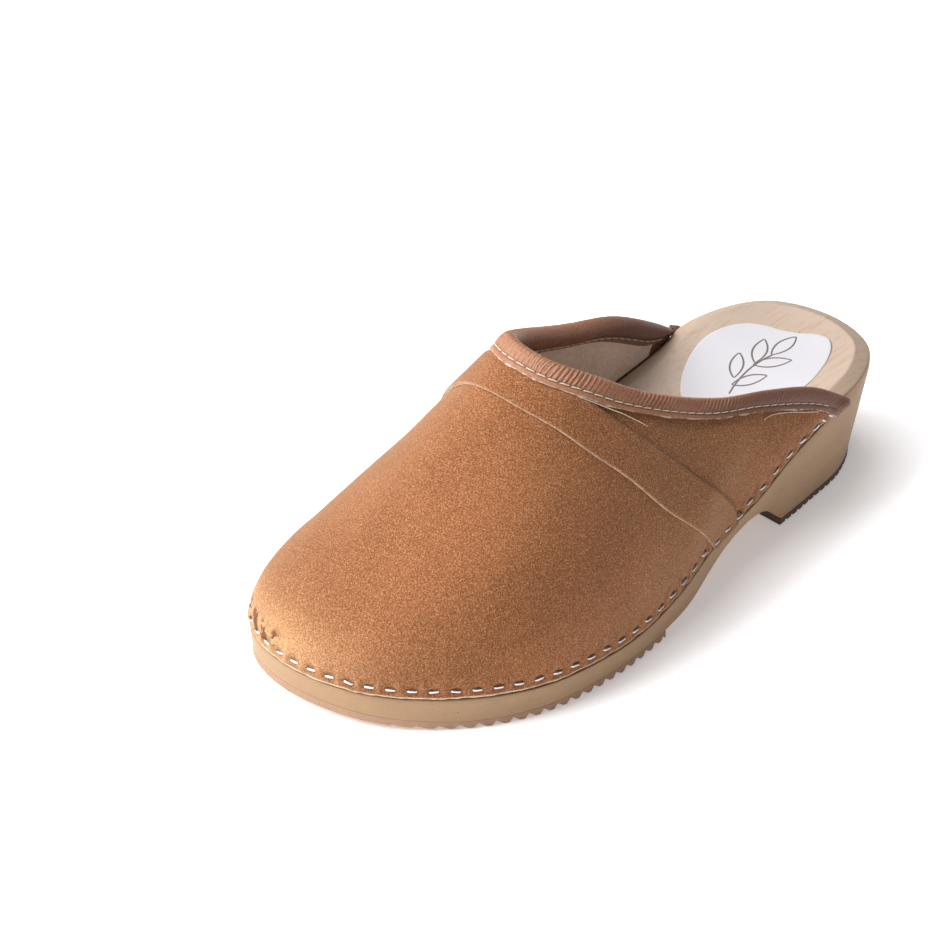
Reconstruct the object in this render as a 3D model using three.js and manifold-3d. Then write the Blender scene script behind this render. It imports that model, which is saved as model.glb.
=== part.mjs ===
// Wooden clog for the left foot: a carved sole with rubber outsoles, and a suede upper that is
// stapled into a rebate round the sole. Millimetres. Toe towards -Y, outer side of the foot +X, up +Z.
import * as THREE from 'three';
import Module from 'manifold-3d';

const wasm = await Module();
wasm.setup();

// ---- overall sizes ----
const SOLE_LENGTH = 262;
const SOLE_WIDTH = 110; // across the widest points of the footprint
const INSTEP_HEIGHT = 100; // ground to the top of the collar
// ---- sole ----
const BOTTOM_INSET_FORE = 0.8; // how far the sides lean in at the ground, under the forefoot
const BOTTOM_INSET_HEEL = 6.5; // and at the back of the heel
const REBATE_SKIN = 0.2; // the leather lies this far inside the face of the wood
const CHAMFER_WIDTH = 5; // worn bevel round the heel seat
const CHAMFER_RISE = 2;
const FOOTBED_DISH = 3.5;
const TOE_SPRING = 3.5;
// ---- rubber ----
const FOREFOOT_RUBBER = 2.7;
const HEEL_RUBBER = 2.4;
const FOREFOOT_REAR = -14; // rear edge of the forefoot rubber
const HEEL_BREAST = 64; // front edge of the heel rubber
const TREAD_PITCH = 5.4;
const TREAD_DEPTH = 1.7;
const TREAD_FRONT = -118;
// ---- leather ----
const SUEDE = 1.6;
const LINING = 0.8;
const PUFF = 1.0;
const BAND = 1.6;
const PUFF_REACH = 24; // how far the toe puff runs up from the sole
const BINDING_LEATHER = 1.0;
const BINDING_DEPTH = 9.5;
const WING_LATERAL = 94.5; // how far back the upper runs on each side
const WING_MEDIAL = 89;
// Tips of the collar from the wings' lower corners: further back, out from the wood, below the ledge.
const TIP_LATERAL = [4.532, 2.301, 1.446];
const TIP_MEDIAL = [2.468, 5.031, 1.123];
// ---- staples, thread and label ----
const STAPLES = 48;
const STAPLE_CROWN = 5;
const STAPLE_LEG = 7;
const WIRE_WIDTH = 1.2;
const WIRE_THICK = 0.5;
const STAPLE_RISE = 3.5; // height above the lower edge of the leather
const STITCH_DEPTH = 7; // stitch line below the top of the binding
const THREAD_WIDTH = 0.7;
const THREAD_THICK = 0.4;
const LABEL_LENGTH = 58.6;
const LABEL_WIDTH = 46;
const LABEL_THICK = 0.3;
// ---- clearance between pieces that touch ----
const GAP = 0.3;

// Footprint at the top of the wall, as shares of the width and length, from the back of the
// heel round the outer side, the toe and the inner side.
const FOOTPRINT = [
  [0, 0.5], [0.205, 0.479], [0.332, 0.405], [0.377, 0.309], [0.395, 0.214], [0.427, 0.095],
  [0.5, -0.019], [0.55, -0.164], [0.518, -0.294], [0.382, -0.399], [0.159, -0.477],
  [-0.127, -0.5], [-0.345, -0.466], [-0.445, -0.378], [-0.436, -0.252], [-0.377, -0.099],
  [-0.318, 0.076], [-0.291, 0.229], [-0.291, 0.363], [-0.2, 0.466],
];
// Collar line, from the outer wing over the instep to the inner wing, as shares of the
// width, length and instep height.
const COLLAR = [
  [0.373, 0.38, 0.371], [0.35, 0.309, 0.51], [0.332, 0.221, 0.601], [0.309, 0.126, 0.673],
  [0.268, 0.008, 0.824], [0.2, -0.057, 0.933], [0.1, -0.092, 0.982], [-0.009, -0.099, 1],
  [-0.1, -0.082, 0.977], [-0.168, -0.053, 0.922], [-0.227, 0.011, 0.826], [-0.264, 0.107, 0.709],
  [-0.291, 0.198, 0.618], [-0.316, 0.286, 0.496], [-0.341, 0.351, 0.367],
];
// Heights along the sole: [share of length, height].
const LEDGE = [[-0.5, 14], [-0.382, 13], [-0.229, 11.7], [-0.076, 12], [0.038, 17], [0.172, 23.5],
  [0.267, 33.5], [0.344, 38], [0.5, 38.5]];
const TOP_EDGE = [[-0.5, 23], [-0.382, 22], [-0.229, 20.7], [-0.076, 21], [0.038, 26], [0.134, 31],
  [0.21, 36], [0.286, 39.8], [0.363, 42], [0.5, 40.5]];
// Shoulder of the upper above and outside its lower edge, against the way round it, 0 to 1.
const SHOULDER_UP = [[0, 8], [0.125, 24], [0.25, 38], [0.375, 45], [0.5, 22], [0.625, 12],
  [0.75, 38], [0.875, 24], [1, 8]];
const SHOULDER_OUT = [[0, 1], [0.125, 3], [0.25, 3], [0.375, 3], [0.5, 1], [0.625, 5],
  [0.75, 3], [0.875, 3], [1, 1]];
// Edges of the instep band on the upper: [way round, way up].
const BAND_FRONT = [[0.152, 0.005], [0.17, 0.156], [0.21, 0.394], [0.248, 0.538], [0.312, 0.712],
  [0.375, 0.812], [0.442, 0.881], [0.5, 0.906], [0.568, 0.888], [0.63, 0.82], [0.69, 0.69],
  [0.75, 0.45], [0.79, 0.2], [0.812, 0.005]];
const BAND_REAR = [[0.123, 0.005], [0.131, 0.156], [0.15, 0.306], [0.175, 0.45], [0.222, 0.644], [0.295, 0.812],
  [0.362, 0.9], [0.415, 0.944], [0.455, 0.966], [0.512, 0.972], [0.592, 0.95], [0.65, 0.895],
  [0.72, 0.76], [0.79, 0.5], [0.83, 0.2], [0.842, 0.005]];

// Edge of the label about its middle, as shares of its width and length.
const LABEL_EDGE = [
  [0.504, 0.085], [0.454, 0.222], [0.389, 0.341], [0.298, 0.447], [0.202, 0.502], [0.096, 0.491],
  [-0.013, 0.433], [-0.13, 0.386], [-0.274, 0.341], [-0.398, 0.263], [-0.478, 0.119],
  [-0.496, -0.034], [-0.454, -0.177], [-0.37, -0.314], [-0.228, -0.44], [-0.043, -0.498],
  [0.174, -0.478], [0.348, -0.367], [0.457, -0.205], [0.504, -0.051],
];

const { lerp, smoothstep, clamp } = THREE.MathUtils;
const vec = (x, y, z) => new THREE.Vector3(x, y, z);

// ---- curves ----
// A smooth line through [place, value] knots, level with its ends beyond them.
function through(knots) {
  const last = knots.length - 1;
  const step = knots.slice(1).map((k, i) => k[0] - knots[i][0]);
  const rate = step.map((h, i) => (knots[i + 1][1] - knots[i][1]) / h);
  const slope = knots.map((_, i) => {
    if (i === 0) return rate[0];
    if (i === last) return rate[last - 1];
    return (rate[i - 1] * step[i] + rate[i] * step[i - 1]) / (step[i - 1] + step[i]);
  });
  return (place) => {
    const x = clamp(place, knots[0][0], knots[last][0]);
    let i = 0;
    while (i < last - 1 && x > knots[i + 1][0]) i++;
    const h = step[i];
    const f = (x - knots[i][0]) / h;
    const a = knots[i][1];
    const b = knots[i + 1][1];
    return a + f * f * (3 - 2 * f) * (b - a)
      + f * (1 - f) ** 2 * h * slope[i] - f * f * (1 - f) * h * slope[i + 1];
  };
}

// Points along a smooth line through control points, spaced by the root of their distance.
function spline(points, count) {
  const places = [0];
  points.slice(1).forEach((p, i) => places.push(places[i] + Math.sqrt(p.distanceTo(points[i]))));
  const axes = ['x', 'y', 'z'].map((axis) => through(points.map((p, i) => [places[i], p[axis]])));
  return (from, to) => Array.from({ length: count + 1 }, (_, i) => {
    const place = lerp(places[from], places[to], i / count);
    return vec(axes[0](place), axes[1](place), axes[2](place));
  });
}

const lengths = (points) => {
  const sum = [0];
  points.slice(1).forEach((p, i) => sum.push(sum[i] + p.distanceTo(points[i])));
  return sum;
};

// The value at a place on a rising list of places.
function at(places, values, place) {
  let low = 0;
  let high = places.length - 1;
  while (high - low > 1) {
    const mid = (low + high) >> 1;
    if (places[mid] > place) high = mid; else low = mid;
  }
  const f = clamp((place - places[low]) / (places[high] - places[low] || 1), 0, 1);
  const [a, b] = [values[low], values[high]];
  return a.isVector3 ? a.clone().lerp(b, f) : lerp(a, b, f);
}

// ---- footprint ----
const corners = FOOTPRINT.map(([x, y]) => vec(x * SOLE_WIDTH, y * SOLE_LENGTH, 0));
const wrapped = [...corners.slice(-3), ...corners, ...corners.slice(0, 4)];
const outline = spline(wrapped, 1440)(3, 3 + corners.length);
const outwards = outline.map((_, i) => {
  const ahead = outline[(i + 1) % 1440];
  const behind = outline[(i + 1439) % 1440];
  return vec(behind.y - ahead.y, ahead.x - behind.x, 0).normalize();
});
const around = lengths(outline);
const toeIndex = outline.reduce((best, p, i) => (p.y < outline[best].y ? i : best), 0);
const heelIndex = outline.slice(0, 80).reduce((best, p, i) => (p.y > outline[best].y ? i : best), 0);
const lateral = [];
const medial = [];
for (let i = heelIndex; i <= toeIndex; i++) lateral.push(i);
for (let i = heelIndex + 1440; i >= toeIndex; i--) medial.push(i % 1440);
const sideAt = (side, y) => {
  const ys = side.map((i) => -outline[i].y);
  return at(ys, side.map((i) => around[i] + (side === medial && i < 100 ? around[1440] : 0)), -y);
};
const outlineAt = (place) => at(around, outline, (place + around[1440]) % around[1440]);
const outwardAt = (place) => at(around, outwards, (place + around[1440]) % around[1440]).normalize();

const share = (y) => y / SOLE_LENGTH;
const ledgeLine = through(LEDGE);
const topLine = through(TOP_EDGE);
const ledge = (y) => ledgeLine(share(y));
const topEdge = (y) => topLine(share(y));
const bottomInset = (y) => lerp(BOTTOM_INSET_FORE, BOTTOM_INSET_HEEL, smoothstep(y, 0, 100));
const archLine = through([[FOREFOOT_REAR, FOREFOOT_RUBBER + GAP], [0, 4.2], [16, 7.6], [36, 12.5],
  [45, 13.3], [54, 11.5], [60, 7.4], [HEEL_BREAST, HEEL_RUBBER + GAP]]);
const toeRise = (y) => TOE_SPRING * Math.max(0, (-85 - y) / 46) ** 2;
const woodBottom = (y) => archLine(y) + toeRise(y);

// ---- outer face of the upper, s = 0..1 round it, t = 0..1 up it ----
const seatStart = sideAt(lateral, WING_LATERAL);
const seatEnd = sideAt(medial, WING_MEDIAL);
const seatPlace = (s) => lerp(seatStart, seatEnd, s);
const collarKnots = COLLAR.map(([x, y, z]) => vec(x * SOLE_WIDTH, y * SOLE_LENGTH, z * INSTEP_HEIGHT));
// The ends of the collar stay by the tips of the wings, and the knots between follow in step.
const CREST = (collarKnots.length - 1) / 2;
[[lateral, WING_LATERAL, TIP_LATERAL, 0], [medial, WING_MEDIAL, TIP_MEDIAL, 2 * CREST]].forEach(
  ([side, wing, [back, out, down], end]) => {
    const place = sideAt(side, wing + back);
    const tip = outlineAt(place).addScaledVector(outwardAt(place), out).setZ(ledge(wing) - down);
    const shift = tip.sub(collarKnots[end]);
    collarKnots.forEach((knot, i) => {
      if ((i - CREST) * (end - CREST) > 0) knot.addScaledVector(shift, Math.abs(i - CREST) / CREST);
    });
  });
const collarPoints = spline(collarKnots, 600)(0, collarKnots.length - 1);
const collarLengths = lengths(collarPoints);
const collar = (s) => at(collarLengths, collarPoints, s * collarLengths[600]);
const shoulderUp = through(SHOULDER_UP);
const shoulderOut = through(SHOULDER_OUT);

function face(s, t) {
  const place = seatPlace(clamp(s, 0, 1));
  const out = outwardAt(place);
  const base = outlineAt(place).addScaledVector(out, -REBATE_SKIN);
  base.z = ledge(base.y) + GAP;
  const shoulder = base.clone().addScaledVector(out, shoulderOut(s));
  shoulder.z += shoulderUp(s);
  const top = collar(clamp(s, 0, 1));
  const p1 = base.clone().lerp(shoulder, 0.85);
  const p2 = top.clone().lerp(shoulder, 0.6);
  const u = 1 - t;
  return base.multiplyScalar(u ** 3).addScaledVector(p1, 3 * u * u * t)
    .addScaledVector(p2, 3 * u * t * t).addScaledVector(top, t ** 3);
}

function outward(s, t) {
  const [s0, s1] = [clamp(s - 0.004, 0, 1), clamp(s + 0.004, 0, 1)];
  const [t0, t1] = [clamp(t - 0.01, 0, 1), clamp(t + 0.01, 0, 1)];
  const round = face(s1, t).sub(face(s0, t));
  return face(s, t1).sub(face(s, t0)).cross(round).normalize();
}

const leather = (s, t, offset) => face(s, t).addScaledVector(outward(s, t), offset);

// One line up the upper: its points, its length from the bottom, its depth below the collar.
const STEPS = 80;
const upLines = new Map();
function upLine(s) {
  if (!upLines.has(s)) {
    const t = Array.from({ length: STEPS + 1 }, (_, i) => i / STEPS);
    const points = t.map((v) => face(s, v));
    const along = collar(clamp(s + 0.01, 0, 1)).sub(collar(clamp(s - 0.01, 0, 1))).normalize();
    const up = points[STEPS].clone().sub(points[STEPS - 1]).normalize();
    const square = Math.max(0.5, Math.sqrt(1 - up.dot(along) ** 2));
    const length = lengths(points);
    upLines.set(s, { t, height: points.map((p) => p.z), length,
      depth: length.map((v) => (length[STEPS] - v) * square) });
  }
  return upLines.get(s);
}
const tBelow = (s, depth) => {
  const line = upLine(s);
  return at(line.depth.map((v) => -v), line.t, -depth);
};
const tAtHeight = (s, height) => at(upLine(s).height, upLine(s).t, height);
const tAtLength = (s, length) => at(upLine(s).length, upLine(s).t, length);
const lengthAt = (s, t) => at(upLine(s).t, upLine(s).length, t);
const seatY = (s) => outlineAt(seatPlace(s)).y;
// The lowest place on a line where a layer of the upper is above a height.
function tAbove(s, offset, height) {
  const t = upLine(s).t.slice(0, 60);
  return t.find((v) => leather(s, v, offset).z >= height) ?? t.at(-1);
}
// Ways round the upper that every layer shares, closer together over the instep.
const UPPER_END = 0.012;
const COLUMNS = 58;
const LINING_END = 0.045;
const ways = Array.from({ length: COLUMNS + 1 }, (_, i) => {
  const f = i / COLUMNS;
  return lerp(UPPER_END, 1 - UPPER_END, f + 0.5 * Math.sin(2 * Math.PI * f) / (2 * Math.PI));
});
[0.02, 0.029, LINING_END, 0.054].forEach((s) => ways.push(s, 1 - s)); // the wings twist
ways.sort((a, b) => a - b);
const waysFrom = (end) => ways.filter((s) => s > end && s < 1 - end);

// ---- solids from grids of points ----
function corner(list, p) { list.push(p.x, p.y, p.z); }
function quad(list, a, b, c, d) {
  [a, b, c, a, c, d].forEach((p) => corner(list, p));
}

// Joins equal points, drops empty triangles and turns the faces outward.
function solid(list) {
  const index = new Map();
  const points = [];
  const id = (i) => {
    const key = [0, 1, 2].map((k) => Math.round(list[i + k] * 2000)).join();
    if (!index.has(key)) {
      index.set(key, points.length / 3);
      points.push(list[i], list[i + 1], list[i + 2]);
    }
    return index.get(key);
  };
  const faces = [];
  for (let i = 0; i < list.length; i += 9) {
    const [a, b, c] = [id(i), id(i + 3), id(i + 6)];
    if (a !== b && b !== c && c !== a) faces.push([a, b, c]);
  }
  const p = (i) => vec(points[3 * i], points[3 * i + 1], points[3 * i + 2]);
  const volume = faces.reduce((sum, [a, b, c]) => sum + p(a).dot(p(b).cross(p(c))), 0);
  if (volume < 0) faces.forEach((f) => f.reverse());
  return new wasm.Manifold(new wasm.Mesh({
    numProp: 3, vertProperties: new Float32Array(points), triVerts: new Uint32Array(faces.flat()),
  }));
}

const rows = (count, make) => Array.from({ length: count + 1 }, (_, j) => make(j / count));

// A sheet between two grids of points, closed round its edge.
function sheet(outer, inner, round = false) {
  const list = [];
  const [n, m] = [outer.length - 1, outer[0].length - 1];
  for (let i = 0; i < n; i++) {
    for (let j = 0; j < m; j++) {
      quad(list, outer[i][j], outer[i + 1][j], outer[i + 1][j + 1], outer[i][j + 1]);
      quad(list, inner[i][j], inner[i][j + 1], inner[i + 1][j + 1], inner[i + 1][j]);
    }
    quad(list, outer[i][0], inner[i][0], inner[i + 1][0], outer[i + 1][0]);
    quad(list, outer[i][m], outer[i + 1][m], inner[i + 1][m], inner[i][m]);
  }
  for (let j = 0; j < m && !round; j++) {
    quad(list, outer[0][j], outer[0][j + 1], inner[0][j + 1], inner[0][j]);
    quad(list, outer[n][j], inner[n][j], inner[n][j + 1], outer[n][j + 1]);
  }
  return solid(list);
}

// A bar swept through rings of points. Its ends are cut into the triangles given, or close to a line.
function bar(rings, cuts = capCuts(rings[0])) {
  const list = [];
  const size = rings[0].length;
  for (let i = 0; i < rings.length - 1; i++) {
    for (let j = 0; j < size; j++) {
      const k = (j + 1) % size;
      quad(list, rings[i][j], rings[i][k], rings[i + 1][k], rings[i + 1][j]);
    }
  }
  cuts.forEach(([a, b, c]) => {
    [a, c, b].forEach((v) => corner(list, rings[0][v]));
    [a, b, c].forEach((v) => corner(list, rings.at(-1)[v]));
  });
  return solid(list);
}

// Cuts a flat ring of points into triangles.
function capCuts(ring) {
  const normal = vec(0, 0, 0);
  ring.forEach((p, i) => normal.add(p.clone().cross(ring[(i + 1) % ring.length])));
  normal.normalize();
  const x = ring[1].clone().sub(ring[0]).addScaledVector(normal,
    -ring[1].clone().sub(ring[0]).dot(normal)).normalize();
  const y = normal.clone().cross(x);
  const flat = ring.map((p) => new THREE.Vector2(p.dot(x), p.dot(y)));
  return THREE.ShapeUtils.triangulateShape(flat, []);
}

// A flat shape [a, b] in the plane of two directions, made thick along the third.
function prism(shape, origin, first, second, third, thickness) {
  const ring = (side) => shape.map(([a, b]) => origin.clone().addScaledVector(first, a)
    .addScaledVector(second, b).addScaledVector(third, side * thickness / 2));
  return bar([ring(-1), ring(1)]);
}

// ---- assembly ----
const part = new THREE.Group();
part.name = 'wooden_clog';
const solids = new Map();
const looks = new Map();
function add(name, body, color, roughness, metalness = 0) {
  solids.set(name, body);
  looks.set(name, { color, roughness, metalness });
}

// ---- wooden sole: one ring of points at each station from the toe to the heel ----
const REBATE_DEPTH = REBATE_SKIN + SUEDE + GAP;
const stationPlaces = [];
const toePlace = around[toeIndex];
const heelPlace = around[heelIndex];
// Stations along the outer side, closer together at the round ends and under the heel breast.
for (let i = 0; i <= 56; i++) {
  const even = i / 56;
  const eased = even - 0.8 * Math.sin(2 * Math.PI * even) / (2 * Math.PI);
  stationPlaces.push(lerp(toePlace, heelPlace, eased));
}
const stationYs = stationPlaces.map((place) => outlineAt(place).y);
[FOREFOOT_REAR, 38, 43, 47, 51, 55, 58, 61, HEEL_BREAST].forEach((y) => stationYs.push(y));
stationYs.sort((a, b) => a - b);
const ys = stationYs.filter((y, i) => i === 0 || y - stationYs[i - 1] > (Math.abs(y) > 120 ? 0.02 : 1.2)
  || y === HEEL_BREAST);

const chamferRise = (y) => CHAMFER_RISE * smoothstep(y, 60, 95);
// Depth of the rebate at the top edge, where the leather has begun to lean in.
function rebateAtTop(place, y, end) {
  const s = (place - seatStart) / (seatEnd - seatStart);
  if (y > end) return 0;
  const inner = leather(s, tAbove(s, -SUEDE - GAP, topEdge(y)), -SUEDE - GAP);
  return Math.max(REBATE_DEPTH, outlineAt(place).sub(inner).setZ(0).dot(outwardAt(place)) + GAP / 2);
}

function wall(side, y, end) {
  const place = sideAt(side, y);
  const edge = outlineAt(place);
  const out = outwardAt(place);
  const point = (inset, z) => edge.clone().addScaledVector(out, -inset).setZ(z);
  const seated = y < end;
  const top = seated ? rebateAtTop(place, y, end) : 0;
  const bottom = point(bottomInset(y), 0);
  bottom.z = woodBottom(bottom.y);
  return [
    bottom,
    point(0, ledge(y)),
    point(seated ? REBATE_DEPTH : 0, ledge(y)),
    point(top, topEdge(y)),
    point(top + CHAMFER_WIDTH, topEdge(y) + chamferRise(y)),
  ];
}

const ACROSS = [0.1, 0.25, 0.42, 0.58, 0.75, 0.9];
const soleRing = (y) => {
  const outer = wall(lateral, y, WING_LATERAL + 3);
  const inner = wall(medial, y, WING_MEDIAL + 3);
  const half = outer[4].distanceTo(inner[4]) / 2;
  const dish = FOOTBED_DISH * smoothstep(half, 4, 24);
  const bed = ACROSS.map((f) => {
    const p = outer[4].clone().lerp(inner[4], f);
    p.z -= dish * (1 - (2 * f - 1) ** 2);
    return p;
  });
  return [...outer, ...bed, ...inner.reverse()];
};
const ends = [toeIndex, heelIndex].map((i) => outline[i].y);
const rings = [ends[0] + 1e-4, ...ys.filter((y) => y > ends[0] + 0.05 && y < ends[1] - 0.05),
  ends[1] - 1e-4].map(soleRing);
[rings[0], rings.at(-1)].forEach((ring) => {
  // at the tips both sides meet in one line
  for (let a = 0; a < 5; a++) {
    ring[a].lerp(ring[15 - a], 0.5);
    ring[15 - a].copy(ring[a]);
  }
  ring.slice(5, 11).forEach((p) => p.copy(ring[4]));
});
const sole = bar(rings, []);

// ---- rubber outsoles, glued under the wood ----
const bottomEdge = (from, to, inset = 0) => {
  const loop = outline.map((p, i) => p.clone().addScaledVector(outwards[i], -bottomInset(p.y) - inset));
  return loop.filter((p, i) => p.y >= from && p.y <= to && i % 12 === 0);
};
const prismUp = (points, z0, z1) => bar([z0, z1].map((z) => points.map((p) => vec(p.x, p.y, z))));
const forefootPlan = bottomEdge(-SOLE_LENGTH, FOREFOOT_REAR - 2);
const sideY = (side) => outlineAt(sideAt(side, FOREFOOT_REAR)).addScaledVector(
  outwardAt(sideAt(side, FOREFOOT_REAR)), -BOTTOM_INSET_FORE);
forefootPlan.push(sideY(medial).setY(FOREFOOT_REAR));
forefootPlan.unshift(sideY(lateral).setY(FOREFOOT_REAR));
const profile = [];
for (let y = -SOLE_LENGTH / 2 - 2; y < FOREFOOT_REAR; y += 6) {
  profile.push([y, FOREFOOT_RUBBER + toeRise(y)]);
}
profile.push([FOREFOOT_REAR, FOREFOOT_RUBBER]);
const teeth = Math.floor((FOREFOOT_REAR - 2 - TREAD_FRONT) / TREAD_PITCH);
for (let i = teeth; i > 0; i--) {
  const y = TREAD_FRONT + i * TREAD_PITCH;
  profile.push([y, toeRise(y) + TREAD_DEPTH], [y - TREAD_PITCH * 0.45, toeRise(y)],
    [y - TREAD_PITCH * 0.6, toeRise(y)]);
}
profile.push([TREAD_FRONT, toeRise(TREAD_FRONT)], [-SOLE_LENGTH / 2 - 2, toeRise(-SOLE_LENGTH / 2 - 2)]);
const tread = prism(profile, vec(0, 0, 0), vec(0, 1, 0), vec(0, 0, 1), vec(1, 0, 0), 2 * SOLE_WIDTH);
add('forefoot_outsole', tread.intersect(prismUp(forefootPlan, -5, 40)), 0xa8795f, 0.75);

const heelPlan = bottomEdge(HEEL_BREAST + 1, SOLE_LENGTH);
const heelCorner = (side) => {
  const place = sideAt(side, HEEL_BREAST);
  return outlineAt(place).addScaledVector(outwardAt(place), -bottomInset(HEEL_BREAST));
};
const heelStart = heelPlan.findIndex((p, i) => p.x < 0 && heelPlan[(i + 1) % heelPlan.length].y > p.y
  && p.y < HEEL_BREAST + 8);
const heelLoop = [...heelPlan.slice(heelStart), ...heelPlan.slice(0, heelStart)]
  .filter((p) => p.y > HEEL_BREAST + 1);
heelLoop.unshift(heelCorner(medial).setY(HEEL_BREAST));
heelLoop.push(heelCorner(lateral).setY(HEEL_BREAST));
add('heel_outsole', prismUp(heelLoop, 0, HEEL_RUBBER), 0x7d5a44, 0.75);

// ---- upper, toe puff and lining ----
const edgeCover = BINDING_LEATHER + 2 * GAP;
const ROWS = 12;
const suede = (offset) => ways.map((s) => rows(ROWS, (j) => leather(s, tBelow(s, edgeCover) * j, offset)));
const upper = sheet(suede(0), suede(-SUEDE));

const PUFF_MIDDLE = 0.525;
const PUFF_HALF = 0.16;
// Inside the shoe a layer starts just above the wood.
const clearOfWood = (y) => topEdge(y) + 0.6 * chamferRise(y) + 2 * GAP;
const insideLow = (s) => tAbove(s, -SUEDE - PUFF - LINING - 2 * GAP, clearOfWood(seatY(s)));
const puffPlace = (s, t) => Math.hypot((s - PUFF_MIDDLE) / PUFF_HALF,
  Math.max(0, lengthAt(s, t) - lengthAt(s, insideLow(s))) / PUFF_REACH);
const puffWays = ways.filter((s) => Math.abs(s - PUFF_MIDDLE) < 0.97 * PUFF_HALF);
const puffGrid = (offset) => puffWays.map((s) => rows(4, (j) => {
  const reach = PUFF_REACH * Math.sqrt(1 - ((s - PUFF_MIDDLE) / PUFF_HALF) ** 2);
  const low = lengthAt(s, insideLow(s));
  return leather(s, tAtLength(s, low + reach * j), offset);
}));
add('toe_puff', sheet(puffGrid(-SUEDE - GAP), puffGrid(-SUEDE - GAP - PUFF)), 0xcdb892, 0.9);

const liningOffset = (s, t) => -SUEDE - GAP
  - (PUFF + GAP) * (1 - smoothstep(puffPlace(s, t), 1.15, 1.6));
const liningGrid = (extra) => waysFrom(LINING_END).map((s) => rows(ROWS, (j) => {
  const t = lerp(insideLow(s), tBelow(s, edgeCover), j);
  return leather(s, t, liningOffset(s, t) - extra);
}));
add('lining', sheet(liningGrid(0), liningGrid(LINING)), 0x96826e, 0.95);

// ---- binding folded over the collar ----
// Outside it lies on the suede. Inside it covers the lining, and where the wing runs down beside
// the wood it is only a lip on the edge of the suede.
const outFace = GAP + BINDING_LEATHER;
const foldEnds = [0, 0.004, 0.008];
const foldWays = [...foldEnds, ...ways, ...foldEnds.map((s) => 1 - s)].sort((a, b) => a - b);
const lined = (s) => Math.min(s, 1 - s) > LINING_END - 0.001;
const inFaceAt = (s) => (lined(s) ? -SUEDE - LINING - 3 * GAP - BINDING_LEATHER : -SUEDE);
function foldRing(s, grow = 0) {
  const room = Math.min(BINDING_DEPTH, upLine(s).depth[3]); // the wings are narrow at their tips
  const inFace = inFaceAt(s);
  const low = tAbove(s, inFace, clearOfWood(seatY(s)));
  const depthAt = at(upLine(s).t, upLine(s).depth, low);
  const inCavity = inFace + BINDING_LEATHER;
  const inner = Math.min(s, 1 - s) > LINING_END + 0.001 ? clamp(depthAt, 1.2, room) : 1.2;
  const middle = (a) => (a + inner) / 2;
  const lip = BINDING_LEATHER + grow;
  return [
    [room, outFace], [room / 2, outFace], [0.8, outFace], [0, outFace - 0.8],
    [0, inFace + 0.8], [0.8, inFace], [middle(0.8), inFace], [inner + grow, inFace],
    [inner + grow, inCavity + grow], [middle(1) + grow, inCavity + grow], [lip, inCavity + grow],
    [lip, GAP - grow], [room / 2, GAP - grow], [room, GAP - grow],
  ].map(([depth, offset]) => leather(s, tBelow(s, depth), offset));
}
const foldCuts = [[0, 1, 12], [0, 12, 13], [1, 2, 11], [1, 11, 12], [2, 3, 11], [3, 4, 10],
  [3, 10, 11], [4, 5, 10], [5, 6, 9], [5, 9, 10], [6, 7, 8], [6, 8, 9]];
const binding = bar(foldWays.map((s) => foldRing(s)), foldCuts);
const bindingRoom = bar(foldWays.map((s) => foldRing(s, 0.5 * GAP)), foldCuts);

// ---- stitch line through the binding: needle thread outside, bobbin thread inside ----
const STITCH_END = 0.09;
function thread(face0) {
  const half = THREAD_WIDTH / 2;
  const section = [[-half, 0], [half, 0], [half, THREAD_THICK], [-half, THREAD_THICK]];
  return bar(waysFrom(STITCH_END).map((s) => section.map(([depth, up]) => {
    const offset = face0(s);
    return leather(s, tBelow(s, STITCH_DEPTH + depth), offset + Math.sign(offset) * (GAP + up));
  })));
}
add('needle_thread', thread(() => outFace), 0xd8c9a8, 0.8);
add('bobbin_thread', thread(inFaceAt), 0xd8c9a8, 0.8);

// ---- instep band ----
const [front, rear] = [through(BAND_FRONT), through(BAND_REAR)];
const bandSpans = [[BAND_REAR[0][0], BAND_FRONT[0][0]], [BAND_FRONT.at(-1)[0], BAND_REAR.at(-1)[0]]];
const endWays = ([from, to]) => [0, 0.2, 0.6, 1].map((f) => lerp(from, to, f));
const bandWays = [...endWays(bandSpans[0]), ...ways.filter((s) => s > bandSpans[0][1] + 0.003
  && s < bandSpans[1][0] - 0.003), ...endWays([...bandSpans[1]].reverse()).reverse()];
const BAND_GAP = 0.4;
const bandGrid = (offset) => bandWays.map((s) => rows(4, (j) => {
  const low = s < bandSpans[0][1] || s > bandSpans[1][0] ? 0.005 : front(s);
  const high = Math.min(rear(s), tBelow(s, BINDING_DEPTH + 2 * GAP));
  return leather(s, lerp(low, Math.max(low, high), j), offset);
}));
const band = sheet(bandGrid(BAND_GAP + BAND), bandGrid(BAND_GAP));

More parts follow.
